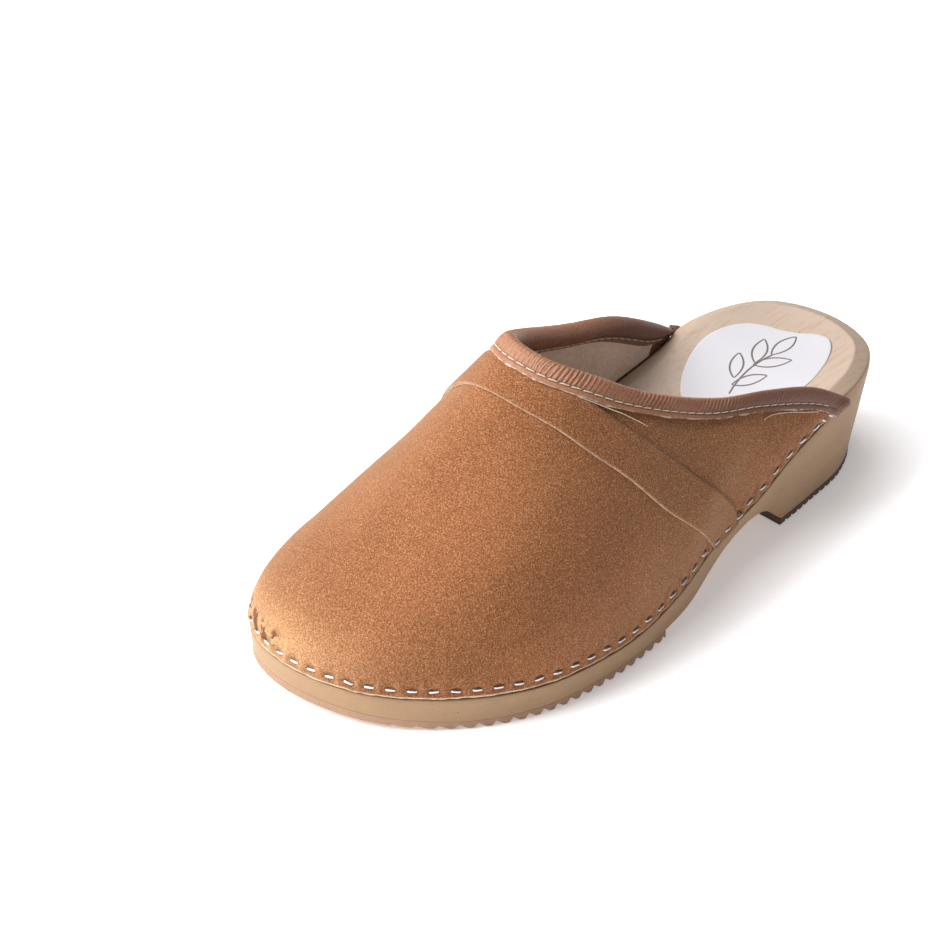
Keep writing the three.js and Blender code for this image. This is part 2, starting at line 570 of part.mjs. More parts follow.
// ---- staples ----
const holes = [];
for (let k = 0; k < STAPLES; k++) {
  const s = lerp(0.022, 0.978, k / (STAPLES - 1));
  const y = seatY(s);
  const t = tAtHeight(s, ledge(y) + Math.min(STAPLE_RISE, 0.45 * (topEdge(y) - ledge(y))));
  const inward = outwardAt(seatPlace(s)).negate();
  const along = face(s + 0.004, t).sub(face(s - 0.004, t));
  along.addScaledVector(inward, -along.dot(inward)).normalize();
  const up = along.clone().cross(inward);
  const onBand = bandSpans.some(([from, to]) => s > from - 0.012 && s < to + 0.012);
  const onBinding = [-0.006, 0, 0.006].some((step) => t > tBelow(clamp(s + step, 0, 1), BINDING_DEPTH + 2));
  const layer = onBand ? BAND_GAP + BAND : onBinding ? outFace + GAP : 0;
  const base = leather(s, t, 0).addScaledVector(inward, -layer - GAP);
  const [w, d] = [STAPLE_CROWN / 2, WIRE_THICK];
  const tip = STAPLE_LEG + layer;
  const shape = [[-w, -d], [w, -d], [w, tip], [w - d, tip], [w - d, 0], [-w + d, 0],
    [-w + d, tip], [-w, tip]];
  const name = `staple_${String(k + 1).padStart(2, '0')}`;
  add(name, prism(shape, base, along, inward, up, WIRE_WIDTH), 0xc9ccd2, 0.25, 1);
  [-1, 1].forEach((side) => {
    const [a, b] = [side * (w - d / 2) - d / 2 - GAP, side * (w - d / 2) + d / 2 + GAP];
    const leg = [[a, -d - GAP], [b, -d - GAP], [b, tip + GAP], [a, tip + GAP]];
    holes.push(prism(leg, base, along, inward, up, WIRE_WIDTH + 2 * GAP));
  });
}
const drilled = wasm.Manifold.union(holes);
add('wooden_sole', sole.subtract(drilled), 0xb59a6c, 0.6);
// Trimmed where it would touch the fold, without the slivers that this leaves at the wing tips.
const trimmed = upper.subtract(drilled).subtract(bindingRoom).decompose();
trimmed.sort((a, b) => b.volume() - a.volume());
add('upper', trimmed[0], 0xb4733c, 0.95);
add('instep_band', band.subtract(drilled), 0xae6e3a, 0.95);
add('collar_binding', binding.subtract(drilled), 0x8a5f4c, 0.5);

// ---- label stuck in the heel seat ----
const LABEL_AT = [2, 87];
const labelKnots = LABEL_EDGE.map(([x, y]) => vec(x * LABEL_WIDTH, y * LABEL_LENGTH, 0));
const labelEdge = spline([...labelKnots.slice(-3), ...labelKnots, ...labelKnots.slice(0, 4)], 40)(
  3, 3 + labelKnots.length);
function bedHeight(x, y) {
  const [outer, inner] = [wall(lateral, y, WING_LATERAL + 3), wall(medial, y, WING_MEDIAL + 3)];
  const span = outer[4].x - inner[4].x;
  const f = (outer[4].x - x) / span;
  const dish = FOOTBED_DISH * smoothstep(span / 2, 4, 24);
  return lerp(outer[4].z, inner[4].z, f) - dish * (1 - (2 * f - 1) ** 2);
}
const labelGrid = (rise) => labelEdge.map((p) => rows(3, (j) => {
  const [x, y] = [LABEL_AT[0] + j * p.x, LABEL_AT[1] + j * p.y];
  return vec(x, y, bedHeight(x, y) + rise);
}));
add('footbed_label', sheet(labelGrid(1.5 * GAP + LABEL_THICK), labelGrid(1.5 * GAP), true), 0xf2f0ee, 0.6);

// ---- meshes ----
for (const [name, body] of solids) {
  const { vertProperties, triVerts } = body.getMesh();
  const geometry = new THREE.BufferGeometry();
  geometry.setAttribute('position', new THREE.BufferAttribute(vertProperties, 3));
  geometry.setIndex(new THREE.BufferAttribute(triVerts, 1));
  const flat = geometry.toNonIndexed();
  flat.computeVertexNormals();
  const mesh = new THREE.Mesh(flat, new THREE.MeshStandardMaterial(looks.get(name)));
  mesh.name = name;
  part.add(mesh);
}

// The origin goes to the middle of the underside.
const box = new THREE.Box3().setFromObject(part);
const middle = box.getCenter(vec(0, 0, 0));
part.children.forEach((mesh) => mesh.geometry.translate(-middle.x, -middle.y, -box.min.z));

export default part;
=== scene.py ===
"""Wooden clog for the left foot: carved sole, rubber outsoles, and a stapled suede upper with a bound collar.

Shapes are worked out in millimetres, toe towards -Y, outer side of the foot +X, up +Z, and are put into
their meshes in metres. The upper is a surface face(s, t): s runs from the outer wing round the toe to the
inner wing, t from the sole up to the collar, and every leather layer is an offset of it.
"""

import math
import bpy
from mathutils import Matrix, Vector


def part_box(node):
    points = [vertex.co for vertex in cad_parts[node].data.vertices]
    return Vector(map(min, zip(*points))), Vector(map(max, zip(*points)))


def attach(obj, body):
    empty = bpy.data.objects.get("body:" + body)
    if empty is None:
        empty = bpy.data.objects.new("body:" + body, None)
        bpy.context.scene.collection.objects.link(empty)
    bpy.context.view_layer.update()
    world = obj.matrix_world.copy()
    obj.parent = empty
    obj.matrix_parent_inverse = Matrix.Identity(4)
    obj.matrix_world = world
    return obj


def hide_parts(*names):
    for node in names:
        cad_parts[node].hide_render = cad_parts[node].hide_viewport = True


bl_info = {
    "name": "Wooden Clog",
    "version": (1, 0, 0),
    "blender": (4, 5, 0),
    "location": "3D View > Sidebar > Clog",
    "description": "Builds a stapled suede clog on a carved wooden sole",
    "category": "Add Mesh",
}

import bmesh
import bpy
import numpy as np
from bpy.props import FloatProperty, FloatVectorProperty, PointerProperty
from mathutils import Vector

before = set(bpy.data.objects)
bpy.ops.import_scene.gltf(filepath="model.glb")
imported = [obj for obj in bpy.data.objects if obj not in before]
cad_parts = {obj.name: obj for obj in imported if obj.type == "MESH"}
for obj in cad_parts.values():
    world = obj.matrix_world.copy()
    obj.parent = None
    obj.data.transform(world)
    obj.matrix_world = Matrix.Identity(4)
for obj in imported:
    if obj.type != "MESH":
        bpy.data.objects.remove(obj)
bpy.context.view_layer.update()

# ---- sizes shared with the solid model, in millimetres ----
SOLE_LENGTH, SOLE_WIDTH, INSTEP_HEIGHT = 262.0, 110.0, 100.0
INSET_FORE, INSET_HEEL = 0.8, 6.5
REBATE_SKIN, SUEDE, LINING, PUFF, GAP = 0.2, 1.6, 0.8, 1.0, 0.3
CHAMFER_WIDTH, CHAMFER_RISE, DISH, TOE_SPRING = 5.0, 2.0, 3.5, 3.5
HEEL_RUBBER, FORE_REAR, HEEL_BREAST = 2.4, -14.0, 64.0
WING_OUTER, WING_INNER, UPPER_END, LINING_END = 94.5, 89.0, 0.016, 0.045
WING_RISE = 1.9  # the wings come out of the rebate and lie on the wood
LABEL_AT, LABEL_RISE = (2.0, 87.0), 0.3
LABEL_EDGE = [(25.2, 92), (22.9, 100), (19.9, 107), (15.7, 113.2), (11.3, 116.4), (6.4, 115.8), (1.4, 112.4), (-4, 109.6),
              (-10.6, 107), (-16.3, 102.4), (-20, 94), (-20.8, 85), (-18.9, 76.6), (-15, 68.6), (-8.5, 61.2),
              (0, 57.8), (10, 59), (18, 65.5), (23, 75), (25.2, 84)]

FOOTPRINT = [
    (0, 0.5), (0.205, 0.479), (0.332, 0.405), (0.377, 0.309), (0.395, 0.214), (0.427, 0.095),
    (0.5, -0.019), (0.55, -0.164), (0.518, -0.294), (0.382, -0.399), (0.159, -0.477),
    (-0.127, -0.5), (-0.345, -0.466), (-0.445, -0.378), (-0.436, -0.252), (-0.377, -0.099),
    (-0.318, 0.076), (-0.291, 0.229), (-0.291, 0.363), (-0.2, 0.466),
]
COLLAR = [
    (0.373, 0.38, 0.371), (0.35, 0.309, 0.51), (0.332, 0.221, 0.601), (0.309, 0.126, 0.673),
    (0.268, 0.008, 0.824), (0.2, -0.057, 0.933), (0.1, -0.092, 0.982), (-0.009, -0.099, 1),
    (-0.1, -0.082, 0.977), (-0.168, -0.053, 0.922), (-0.227, 0.011, 0.826), (-0.264, 0.107, 0.709),
    (-0.291, 0.198, 0.618), (-0.314, 0.286, 0.475), (-0.335, 0.351, 0.335),
]
LEDGE = [(-0.5, 14), (-0.382, 13), (-0.229, 11.7), (-0.076, 12), (0.038, 17), (0.172, 23.5),
         (0.267, 33.5), (0.344, 38), (0.5, 38.5)]
TOP_EDGE = [(-0.5, 23), (-0.382, 22), (-0.229, 20.7), (-0.076, 21), (0.038, 26), (0.134, 31),
            (0.21, 36), (0.286, 39.8), (0.363, 42), (0.5, 40.5)]
ARCH = [(FORE_REAR, 3.0), (0, 4.2), (16, 7.6), (36, 12.5), (45, 13.3), (54, 11.5), (60, 7.4), (HEEL_BREAST, 2.7)]
SHOULDER_UP = [2, 24, 38, 45, 22, 12, 38, 24, 2]
SHOULDER_OUT = [1, 3, 3, 3, 1, 5, 3, 3, 1]
BAND_FRONT = [(0.152, 0.005), (0.17, 0.156), (0.21, 0.394), (0.248, 0.538), (0.312, 0.712), (0.375, 0.812),
              (0.442, 0.881), (0.5, 0.906), (0.568, 0.888), (0.63, 0.82), (0.69, 0.69), (0.75, 0.45),
              (0.79, 0.2), (0.812, 0.005)]
BAND_REAR = [(0.123, 0.005), (0.131, 0.156), (0.15, 0.306), (0.175, 0.45), (0.222, 0.644), (0.295, 0.812),
             (0.362, 0.9), (0.415, 0.944), (0.455, 0.966), (0.512, 0.972), (0.592, 0.95), (0.65, 0.895),
             (0.72, 0.76), (0.79, 0.5), (0.83, 0.2), (0.842, 0.005)]
# Where the lasted leather stands fuller or flatter than the plain surface: [s, t, reach in s, in t, mm].
FULLNESS = [(0.57, 0.70, 0.07, 0.16, -2.0), (0.63, 0.25, 0.06, 0.18, 2.0)]


# ---- curves ----
def ease(x, low, high):
    """0 below low, 1 above high, and a smooth step between."""
    f = np.clip((x - low) / (high - low), 0, 1)
    return f * f * (3 - 2 * f)


def mix(a, b, f):
    return a + (b - a) * f


def through(knots):
    """A smooth line through (place, value) knots: cubics whose slope at a knot is the mean of its neighbours'."""
    x, y = np.array(knots, float).T
    step = np.diff(x)
    rate = np.diff(y) / step
    slope = np.concatenate([rate[:1], (rate[:-1] * step[1:] + rate[1:] * step[:-1]) / (step[:-1] + step[1:]), rate[-1:]])

    def value(place):
        v = np.clip(place, x[0], x[-1])
        i = np.clip(np.searchsorted(x, v, side="right") - 1, 0, len(step) - 1)
        f = (v - x[i]) / step[i]
        return (y[i] + f * f * (3 - 2 * f) * (y[i + 1] - y[i])
                + f * (1 - f) ** 2 * step[i] * slope[i] - f * f * (1 - f) * step[i] * slope[i + 1])

    return value


def lengths(points):
    """Running length along rows of points."""
    steps = np.linalg.norm(np.diff(points, axis=0), axis=1)
    return np.concatenate([[0], np.cumsum(steps)])


def spline(points, count, first=0, last=-1):
    """A smooth line through points, spaced by the root of their distance, as count + 1 points."""
    points = np.array(points, float)
    places = np.concatenate([[0], np.cumsum(np.sqrt(np.linalg.norm(np.diff(points, axis=0), axis=1)))])
    at = np.linspace(places[first], places[last], count + 1)
    return np.stack([through(np.column_stack([places, axis]))(at) for axis in points.T], -1)


def along(places, points, at):
    """Points read off a line at given places."""
    return np.stack([np.interp(at, places, axis) for axis in points.T], -1)


def unit(v):
    return v / np.maximum(np.linalg.norm(v, axis=-1, keepdims=True), 1e-9)


# ---- footprint ----
_corners = np.array(FOOTPRINT) * (SOLE_WIDTH, SOLE_LENGTH)
OUTLINE = spline(np.concatenate([_corners[-3:], _corners, _corners[:4]]), 1440, 3, 3 + len(_corners))
_turn = np.roll(OUTLINE[:-1], -1, 0) - np.roll(OUTLINE[:-1], 1, 0)
OUTWARDS = unit(np.column_stack([-_turn[:, 1], _turn[:, 0]]))
OUTWARDS = np.concatenate([OUTWARDS, OUTWARDS[:1]])
AROUND = lengths(OUTLINE)
ROUND = AROUND[-1]
TOE, HEEL = int(np.argmin(OUTLINE[:, 1])), int(np.argmax(OUTLINE[:80, 1]))
_outer = np.arange(HEEL, TOE + 1)
_inner = np.arange(HEEL + 1440, TOE - 1, -1)
_inner_places = AROUND[_inner % 1440] + np.where(_inner >= 1440, ROUND, 0)


def outer_place(y):
    return np.interp(-np.asarray(y, float), -OUTLINE[_outer, 1], AROUND[_outer])


def inner_place(y):
    return np.interp(-np.asarray(y, float), -OUTLINE[_inner % 1440, 1], _inner_places)


def outline_at(place):
    return along(AROUND, OUTLINE, np.mod(place, ROUND))


def outward_at(place):
    return unit(along(AROUND, OUTWARDS, np.mod(place, ROUND)))


_ledge, _top, _arch = through(LEDGE), through(TOP_EDGE), through(ARCH)


def ledge(y):
    return _ledge(y / SOLE_LENGTH)


def top_edge(y):
    return _top(y / SOLE_LENGTH)


def bottom_inset(y):
    return mix(INSET_FORE, INSET_HEEL, ease(y, 0, 100))


def chamfer_rise(y):
    return CHAMFER_RISE * ease(y, 60, 95)


def toe_rise(y):
    return TOE_SPRING * np.maximum(0, (-85 - y) / 46) ** 2


def wood_bottom(y):
    return _arch(y) + toe_rise(y)


# ---- the upper's surface ----
SEAT_START, SEAT_END = float(outer_place(WING_OUTER)), float(inner_place(WING_INNER))
SEAT = SEAT_END - SEAT_START
_collar = spline(np.array(COLLAR) * (SOLE_WIDTH, SOLE_LENGTH, INSTEP_HEIGHT), 600)
_collar_lengths = lengths(_collar)
COLLAR_LENGTH = _collar_lengths[-1]
_eighths = np.linspace(0, 1, 9)
_shoulder_up = through(np.column_stack([_eighths, SHOULDER_UP]))
_shoulder_out = through(np.column_stack([_eighths, SHOULDER_OUT]))


def collar(s):
    return along(_collar_lengths, _collar, np.clip(s, 0, 1) * COLLAR_LENGTH)


def seat_y(s):
    return outline_at(SEAT_START + SEAT * np.asarray(s))[..., 1]


def in_rebate(s):
    """1 where the leather sits in the rebate, down to 0 at the tips of the wings."""
    return ease(np.minimum(s, 1 - s), 0.004, 0.034)


def face(s, t):
    """Cubic curves from the rebate, over a shoulder above and outside it, up to the collar line."""
    s, t = np.broadcast_arrays(np.asarray(s, float), np.asarray(t, float))
    s = np.clip(s, 0, 1)
    place = SEAT_START + SEAT * s
    out = outward_at(place)
    flat = outline_at(place) - REBATE_SKIN * out
    base = np.concatenate([flat, (ledge(flat[..., 1]) + GAP)[..., None]], -1)
    rise = np.concatenate([out * _shoulder_out(s)[..., None], _shoulder_up(s)[..., None]], -1)
    top = collar(s)
    t = t[..., None]
    first, second = base + 0.85 * rise, mix(top, base + rise, 0.6)
    u = 1 - t
    return u**3 * base + 3 * u * u * t * first + 3 * u * t * t * second + t**3 * top


def outward(s, t):
    """The surface's outward direction: the cross product of its slopes along t and s."""
    s0, s1 = np.clip(s - 0.004, 0, 1), np.clip(s + 0.004, 0, 1)
    t0, t1 = np.clip(t - 0.01, 0, 1), np.clip(t + 0.01, 0, 1)
    return unit(np.cross(face(s, t1) - face(s, t0), face(s1, t) - face(s0, t)))


def leather(s, t, offset=0.0):
    """The surface moved outwards by offset, with the fuller and flatter places of the last. Where the wings
    leave the rebate the leather also moves sideways, square to the sole's outline."""
    s, t, offset = np.broadcast_arrays(np.asarray(s, float), np.asarray(t, float), np.asarray(offset, float))
    for s0, t0, reach_s, reach_t, rise in FULLNESS:
        offset = offset + rise * np.exp(-(((s - s0) / reach_s) ** 2) - ((t - t0) / reach_t) ** 2)
    aside = outward_at(SEAT_START + SEAT * np.clip(s, 0, 1)) * (WING_RISE * (1 - in_rebate(s)))[..., None]
    aside = np.concatenate([aside, np.zeros(aside.shape[:-1] + (1,))], -1)
    return face(s, t) + outward(s, t) * offset[..., None] + aside


class Chart:
    """A quantity tabled over the upper that rises or falls up each line, and is looked up the other way."""

    COLUMNS, STEPS = 480, 120

    def __init__(self, table):
        self.table = table if table[0, -1] > table[0, 0] else -table
        self.sign = 1 if table[0, -1] > table[0, 0] else -1

    def _line(self, s):
        x = np.clip(s, 0, 1).ravel() * self.COLUMNS
        i = np.minimum(x.astype(int), self.COLUMNS - 1)
        f = (x - i)[:, None]
        return self.table[i] * (1 - f) + self.table[i + 1] * f

    def place(self, s, value):
        """t where the quantity has that value."""
        s, value = np.broadcast_arrays(np.asarray(s, float), np.asarray(value, float))
        line, v = self._line(s), self.sign * value.ravel()[:, None]
        j = np.clip((line < v).sum(1) - 1, 0, self.STEPS - 1)
        pick = np.arange(len(j))
        low, high = line[pick, j], line[pick, j + 1]
        f = np.clip((v[:, 0] - low) / np.maximum(high - low, 1e-9), 0, 1)
        return ((j + f) / self.STEPS).reshape(s.shape)

    def value(self, s, t):
        """The quantity at s and t."""
        s, t = np.broadcast_arrays(np.asarray(s, float), np.asarray(t, float))
        line = self._line(s)
        x = np.clip(t, 0, 1).ravel() * self.STEPS
        j = np.minimum(x.astype(int), self.STEPS - 1)
        pick = np.arange(len(j))
        return (self.sign * mix(line[pick, j], line[pick, j + 1], x - j)).reshape(s.shape)


_s = np.linspace(0, 1, Chart.COLUMNS + 1)
_grid = face(_s[:, None], np.linspace(0, 1, Chart.STEPS + 1)[None])
_steps = np.linalg.norm(np.diff(_grid, axis=1), axis=2)
_lengths = np.concatenate([np.zeros((len(_s), 1)), np.cumsum(_steps, 1)], 1)
_run = unit(collar(_s + 0.01) - collar(_s - 0.01))
_rise = unit(_grid[:, -1] - _grid[:, -2])
_square = np.maximum(0.85, np.sqrt(1 - np.sum(_run * _rise, 1) ** 2))
UP = Chart(_lengths)  # length up each line from the sole
DEPTH = Chart((_lengths[:, -1:] - _lengths) * _square[:, None])  # depth below the collar, square to it


def chart_of_layer(offset):
    """Heights of a layer inside the upper."""
    z = leather(_s[:, None], np.linspace(0, 1, Chart.STEPS + 1)[None], offset)[:, :, 2]
    return Chart(np.maximum.accumulate(z + np.arange(Chart.STEPS + 1) * 1e-6, 1))


# ---- from grids to pieces ----
_low, _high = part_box("wooden_sole")
SHIFT = np.array([_low.x * 1000 - OUTLINE[:, 0].min(), _low.y * 1000 - OUTLINE[:, 1].min(), 0.0])


def quads(n, m, wrap_n=False, wrap_m=False):
    """Faces of an n by m grid of points."""
    i = np.arange(n if wrap_n else n - 1)[:, None]
    j = np.arange(m if wrap_m else m - 1)[None]
    k, l = (i + 1) % n, (j + 1) % m
    return np.stack(np.broadcast_arrays(i * m + j, k * m + j, k * m + l, i * m + l), -1).reshape(-1, 4)


def tube(n, m):
    """Faces of n rings of m points, each end closed across its ring."""
    j = np.arange(m // 2 - 1)
    zips = [np.stack([e + j, e + j + 1, e + m - 2 - j, e + m - 1 - j], -1) for e in (0, (n - 1) * m)]
    return np.concatenate([quads(n, m, wrap_m=True), *zips])


def copies(faces, points_each, count):
    """The same faces for several copies of a shape."""
    return (faces[None] + points_each * np.arange(count)[:, None, None]).reshape(-1, 4)


def make_piece(name, points, faces, finish, nodes, values=None, sharp=35.0):
    """A piece from points in millimetres and four-cornered faces, on the one body, in place of CAD nodes."""
    co = (points.reshape(-1, 3) + SHIFT) / 1000
    mesh = bpy.data.meshes.new(name)
    mesh.vertices.add(len(co))
    mesh.vertices.foreach_set("co", co.ravel().astype(np.float32))
    mesh.loops.add(faces.size)
    mesh.loops.foreach_set("vertex_index", faces.ravel().astype(np.int32))
    mesh.polygons.add(len(faces))
    mesh.polygons.foreach_set("loop_start", np.arange(0, faces.size, 4, dtype=np.int32))
    for key, numbers in (values or {}).items():
        layer = mesh.attributes.new(key, "FLOAT", "POINT")
        layer.data.foreach_set("value", np.ascontiguousarray(numbers, np.float32).ravel())
    mesh.update(calc_edges=True)
    work = bmesh.new()
    work.from_mesh(mesh)
    bmesh.ops.remove_doubles(work, verts=work.verts, dist=4e-6)
    bmesh.ops.recalc_face_normals(work, faces=work.faces)
    if sum(f.calc_area() * f.normal.dot(f.calc_center_median()) for f in work.faces) < 0:
        bmesh.ops.reverse_faces(work, faces=work.faces)
    work.to_mesh(mesh)
    work.free()
    mesh.polygons.foreach_set("use_smooth", np.ones(len(mesh.polygons), bool))
    mesh.set_sharp_from_angle(angle=math.radians(sharp))
    mesh.materials.append(finish)
    piece = bpy.data.objects.new(name, mesh)
    bpy.context.scene.collection.objects.link(piece)
    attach(piece, "root")
    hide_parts(*nodes)
    return piece


# ---- finishes ----
class Value:
    """A number that varies over a surface. Arithmetic on it adds Math nodes."""

    def __init__(self, finish, socket):
        self.finish, self.socket = finish, socket

    def _math(self, operation, *terms):
        return self.finish.node("ShaderNodeMath", {"operation": operation}, dict(enumerate(terms)))[0]

    def __add__(self, other):
        return self._math("ADD", self, other)

    def __sub__(self, other):
        return self._math("SUBTRACT", self, other)

    def __rsub__(self, other):
        return self._math("SUBTRACT", other, self)

    def __mul__(self, other):
        return self._math("MULTIPLY", self, other)

    def __truediv__(self, other):
        return self._math("DIVIDE", self, other)

    def __pow__(self, other):
        return self._math("POWER", self, other)

    def __abs__(self):
        return self._math("ABSOLUTE", self)

    def least(self, other):
        return self._math("MINIMUM", self, other)

    def most(self, other):
        return self._math("MAXIMUM", self, other)

    def step(self, low, high):
        """0 below low, 1 above high, smooth between."""
        return self.finish.node("ShaderNodeMapRange", {"interpolation_type": "SMOOTHSTEP"},
                                {0: self, 1: low, 2: high, 3: 0.0, 4: 1.0})[0]

    __radd__, __rmul__ = __add__, __mul__


class Finish:
    """A material: its shader, and the patterns that feed it."""

    def __init__(self, name, **constants):
        self.material = bpy.data.materials.new(name)
        self.material.use_nodes = True
        self.tree = self.material.node_tree
        self.tree.nodes.clear()
        self.shader = self.tree.nodes.new("ShaderNodeBsdfPrincipled")
        output = self.tree.nodes.new("ShaderNodeOutputMaterial")
        self.tree.links.new(self.shader.outputs[0], output.inputs["Surface"])
        for key, value in constants.items():
            self.shader.inputs[key.replace("_", " ")].default_value = value
        self.place = self.node("ShaderNodeTexCoord")["Object"]

    def node(self, kind, settings=None, values=None):
        """Adds a node: its settings first, then the values or links of its sockets. Returns its outputs."""
        made = self.tree.nodes.new(kind)
        for key, value in (settings or {}).items():
            if key == "stops":
                while len(made.color_ramp.elements) < len(value):
                    made.color_ramp.elements.new(1.0)
                for stop, (at, colour) in zip(made.color_ramp.elements, value):
                    stop.position, stop.color = at, colour
            else:
                setattr(made, key, value)
        for key, value in (values or {}).items():
            if isinstance(value, Value):
                self.tree.links.new(value.socket, made.inputs[key])
            else:
                made.inputs[key].default_value = value
        outputs = {}
        for i, socket in enumerate(made.outputs):
            outputs[i] = outputs[socket.name] = Value(self, socket)
        return outputs

    def noise(self, per_metre, detail=2.0, stretch=(1, 1, 1), turn=(0, 0, 0), warp=0.0, rough=0.5):
        """Soft cloudy noise from 0 to 1, with features of about 1 / per_metre."""
        at = self.node("ShaderNodeMapping", None, {"Vector": self.place, "Scale": stretch, "Rotation": turn})[0]
        return self.node("ShaderNodeTexNoise", None, {"Vector": at, "Scale": per_metre, "Detail": detail,
                                                      "Roughness": rough, "Distortion": warp})["Fac"]

    def cells(self, per_metre, feature="F1"):
        """Distance to scattered points, for grain and pores."""
        return self.node("ShaderNodeTexVoronoi", {"feature": feature},
                         {"Vector": self.place, "Scale": per_metre})["Distance"]

    def value(self, name):
        """A number kept on the piece's own points."""
        return self.node("ShaderNodeAttribute", {"attribute_name": name})["Fac"]

    def axes(self):
        parts = self.node("ShaderNodeSeparateXYZ", None, {0: self.place})
        return parts["X"], parts["Y"], parts["Z"]

    def blend(self, low, high, factor, mode="MIX"):
        """One colour into another."""
        return self.node("ShaderNodeMix", {"data_type": "RGBA", "blend_type": mode},
                         {0: factor, 6: low, 7: high})[2]

    def colour(self, value):
        self.tree.links.new(value.socket, self.shader.inputs["Base Color"])

    def roughness(self, value):
        self.tree.links.new(value.socket, self.shader.inputs["Roughness"])

    def bump(self, *layers):
        """Relief from (height 0 to 1, depth in millimetres, strength) layers, coarse first."""
        normal = None
        for height, depth, strength in layers:
            values = {"Height": height, "Distance": depth / 1000, "Strength": strength}
            if normal is not None:
                values["Normal"] = normal
            normal = self.node("ShaderNodeBump", None, values)["Normal"]
        self.tree.links.new(normal.socket, self.shader.inputs["Normal"])


def rgb(colour, gain=1.0):
    return (colour[0] * gain, colour[1] * gain, colour[2] * gain, 1.0)


def suede_finish(name, colour):
    """Napped leather: brushed lighter and darker patches, a fine grainy nap, dark smudges above the toe staples, and
    a pale raw cut edge; a painted highlight low on the toe, painted shade in each staple's dimple, and a painted
    shadow along the band's rear edge.
    """
    f = Finish(name, Roughness=0.95, Sheen_Weight=0.45, Sheen_Roughness=0.45, Specular_IOR_Level=0.12)
    f.shader.inputs["Sheen Tint"].default_value = (1.0, 0.84, 0.60, 1.0)
    patch = f.noise(16, 2, warp=0.4)
    brushed = f.noise(70, 3, stretch=(1, 0.5, 0.8), turn=(0, 0, 0.7), warp=0.6)
    nap = f.noise(2000, 3, rough=0.65)
    grain = f.noise(2900, 2, rough=0.7)
    uneven = patch.step(0.3, 0.7) * 0.5 + brushed.step(0.25, 0.75) * 0.5
    tone = f.blend(rgb(colour, 0.88), rgb(colour, 1.12), uneven)
    speckle = nap.step(0.38, 0.62) * 0.65 + grain.step(0.36, 0.64) * 0.35
    tone = f.blend(tone, rgb((0.38, 0.31, 0.28)), 1.0 - speckle, "MULTIPLY")
    tone = f.blend(tone, (0.86, 0.48, 0.25, 1), (speckle - 0.7).most(0.0) * 1.2)
    # painted highlight: a lighter patch low on the toe, where the light falls on it
    tone = f.blend(tone, (0.72, 0.43, 0.22, 1), f.value("rubbed") * (speckle * 0.6 + 0.2))
    # dark smudges above the toe staples, and painted shade in each staple's dimple
    smudge = f.value("smudge") * f.noise(330, 3).step(0.42, 0.62)
    tone = f.blend(tone, (0.13, 0.036, 0.012, 1), (smudge * 0.95).least(0.95))
    raw = f.value("raw_edge") * (f.noise(600, 2).step(0.3, 0.65) * 0.6 + 0.4)
    tone = f.blend(tone, (0.78, 0.60, 0.44, 1), raw.least(1.0))
    # painted shadow: a dark line along the band's rear edge
    tone = f.blend(tone, (0.05, 0.02, 0.01, 1), f.value("crease") * 0.85)
    f.colour(tone)
    f.bump((brushed, 0.4, 0.25), (nap, 0.3, 0.7), (grain, 0.15, 0.5))
    return f.material


def wood_finish(name, colour, bed):
    """Pale close-grained wood: long growth lines, fine pores along the grain, and worn sides."""
    f = Finish(name, Roughness=0.55, Specular_IOR_Level=0.35)
    x, y, z = f.axes()
    wander = f.noise(9, 2, stretch=(1, 0.25, 1))
    lines = f.noise(120, 3, stretch=(1, 0.05, 1.6), warp=0.4)
    fine = f.noise(520, 3, stretch=(1, 0.035, 1.3), rough=0.6)
    pores = f.noise(1500, 2, stretch=(1, 0.04, 1), rough=0.5)
    side = f.value("side")
    light = f.blend(rgb(bed, 0.90), rgb(bed, 1.06), wander * 0.5 + lines * 0.5)
    dark = f.blend(rgb(colour, 0.80), rgb(colour, 1.12), wander * 0.45 + lines * 0.55)
    tone = f.blend(light, dark, side)
    tone = f.blend(tone, (0.36, 0.24, 0.13, 1), fine.step(0.48, 0.72) * 0.42)
    tone = f.blend(tone, (0.24, 0.15, 0.08, 1), pores.step(0.56, 0.72) * (side * 0.3 + 0.12))
    specks = 1.0 - f.cells(140).step(0.025, 0.05)
    tone = f.blend(tone, (0.10, 0.055, 0.03, 1), specks * f.noise(60, 1).step(0.55, 0.62) * 0.8)
    f.colour(tone)
    f.roughness(fine * 0.15 + 0.5)
    f.bump((lines, 0.12, 0.25), (fine, 0.08, 0.3))
    return f.material


def rubber_finish(name, colour):
    """Moulded rubber, dusty and finely pitted, with flow marks along it."""
    f = Finish(name, Roughness=0.75, Specular_IOR_Level=0.3)
    cloud = f.noise(45, 3, stretch=(1, 0.5, 1.5))
    grit = f.noise(1400, 2)
    tone = f.blend(rgb(colour, 0.82), rgb(colour, 1.15), cloud)
    tone = f.blend(tone, rgb(colour, 0.6), grit.step(0.58, 0.75) * 0.5)
    f.colour(tone)
    f.roughness(cloud * 0.2 + 0.65)
    f.bump((cloud, 0.2, 0.2), (grit, 0.12, 0.4))
    return f.material


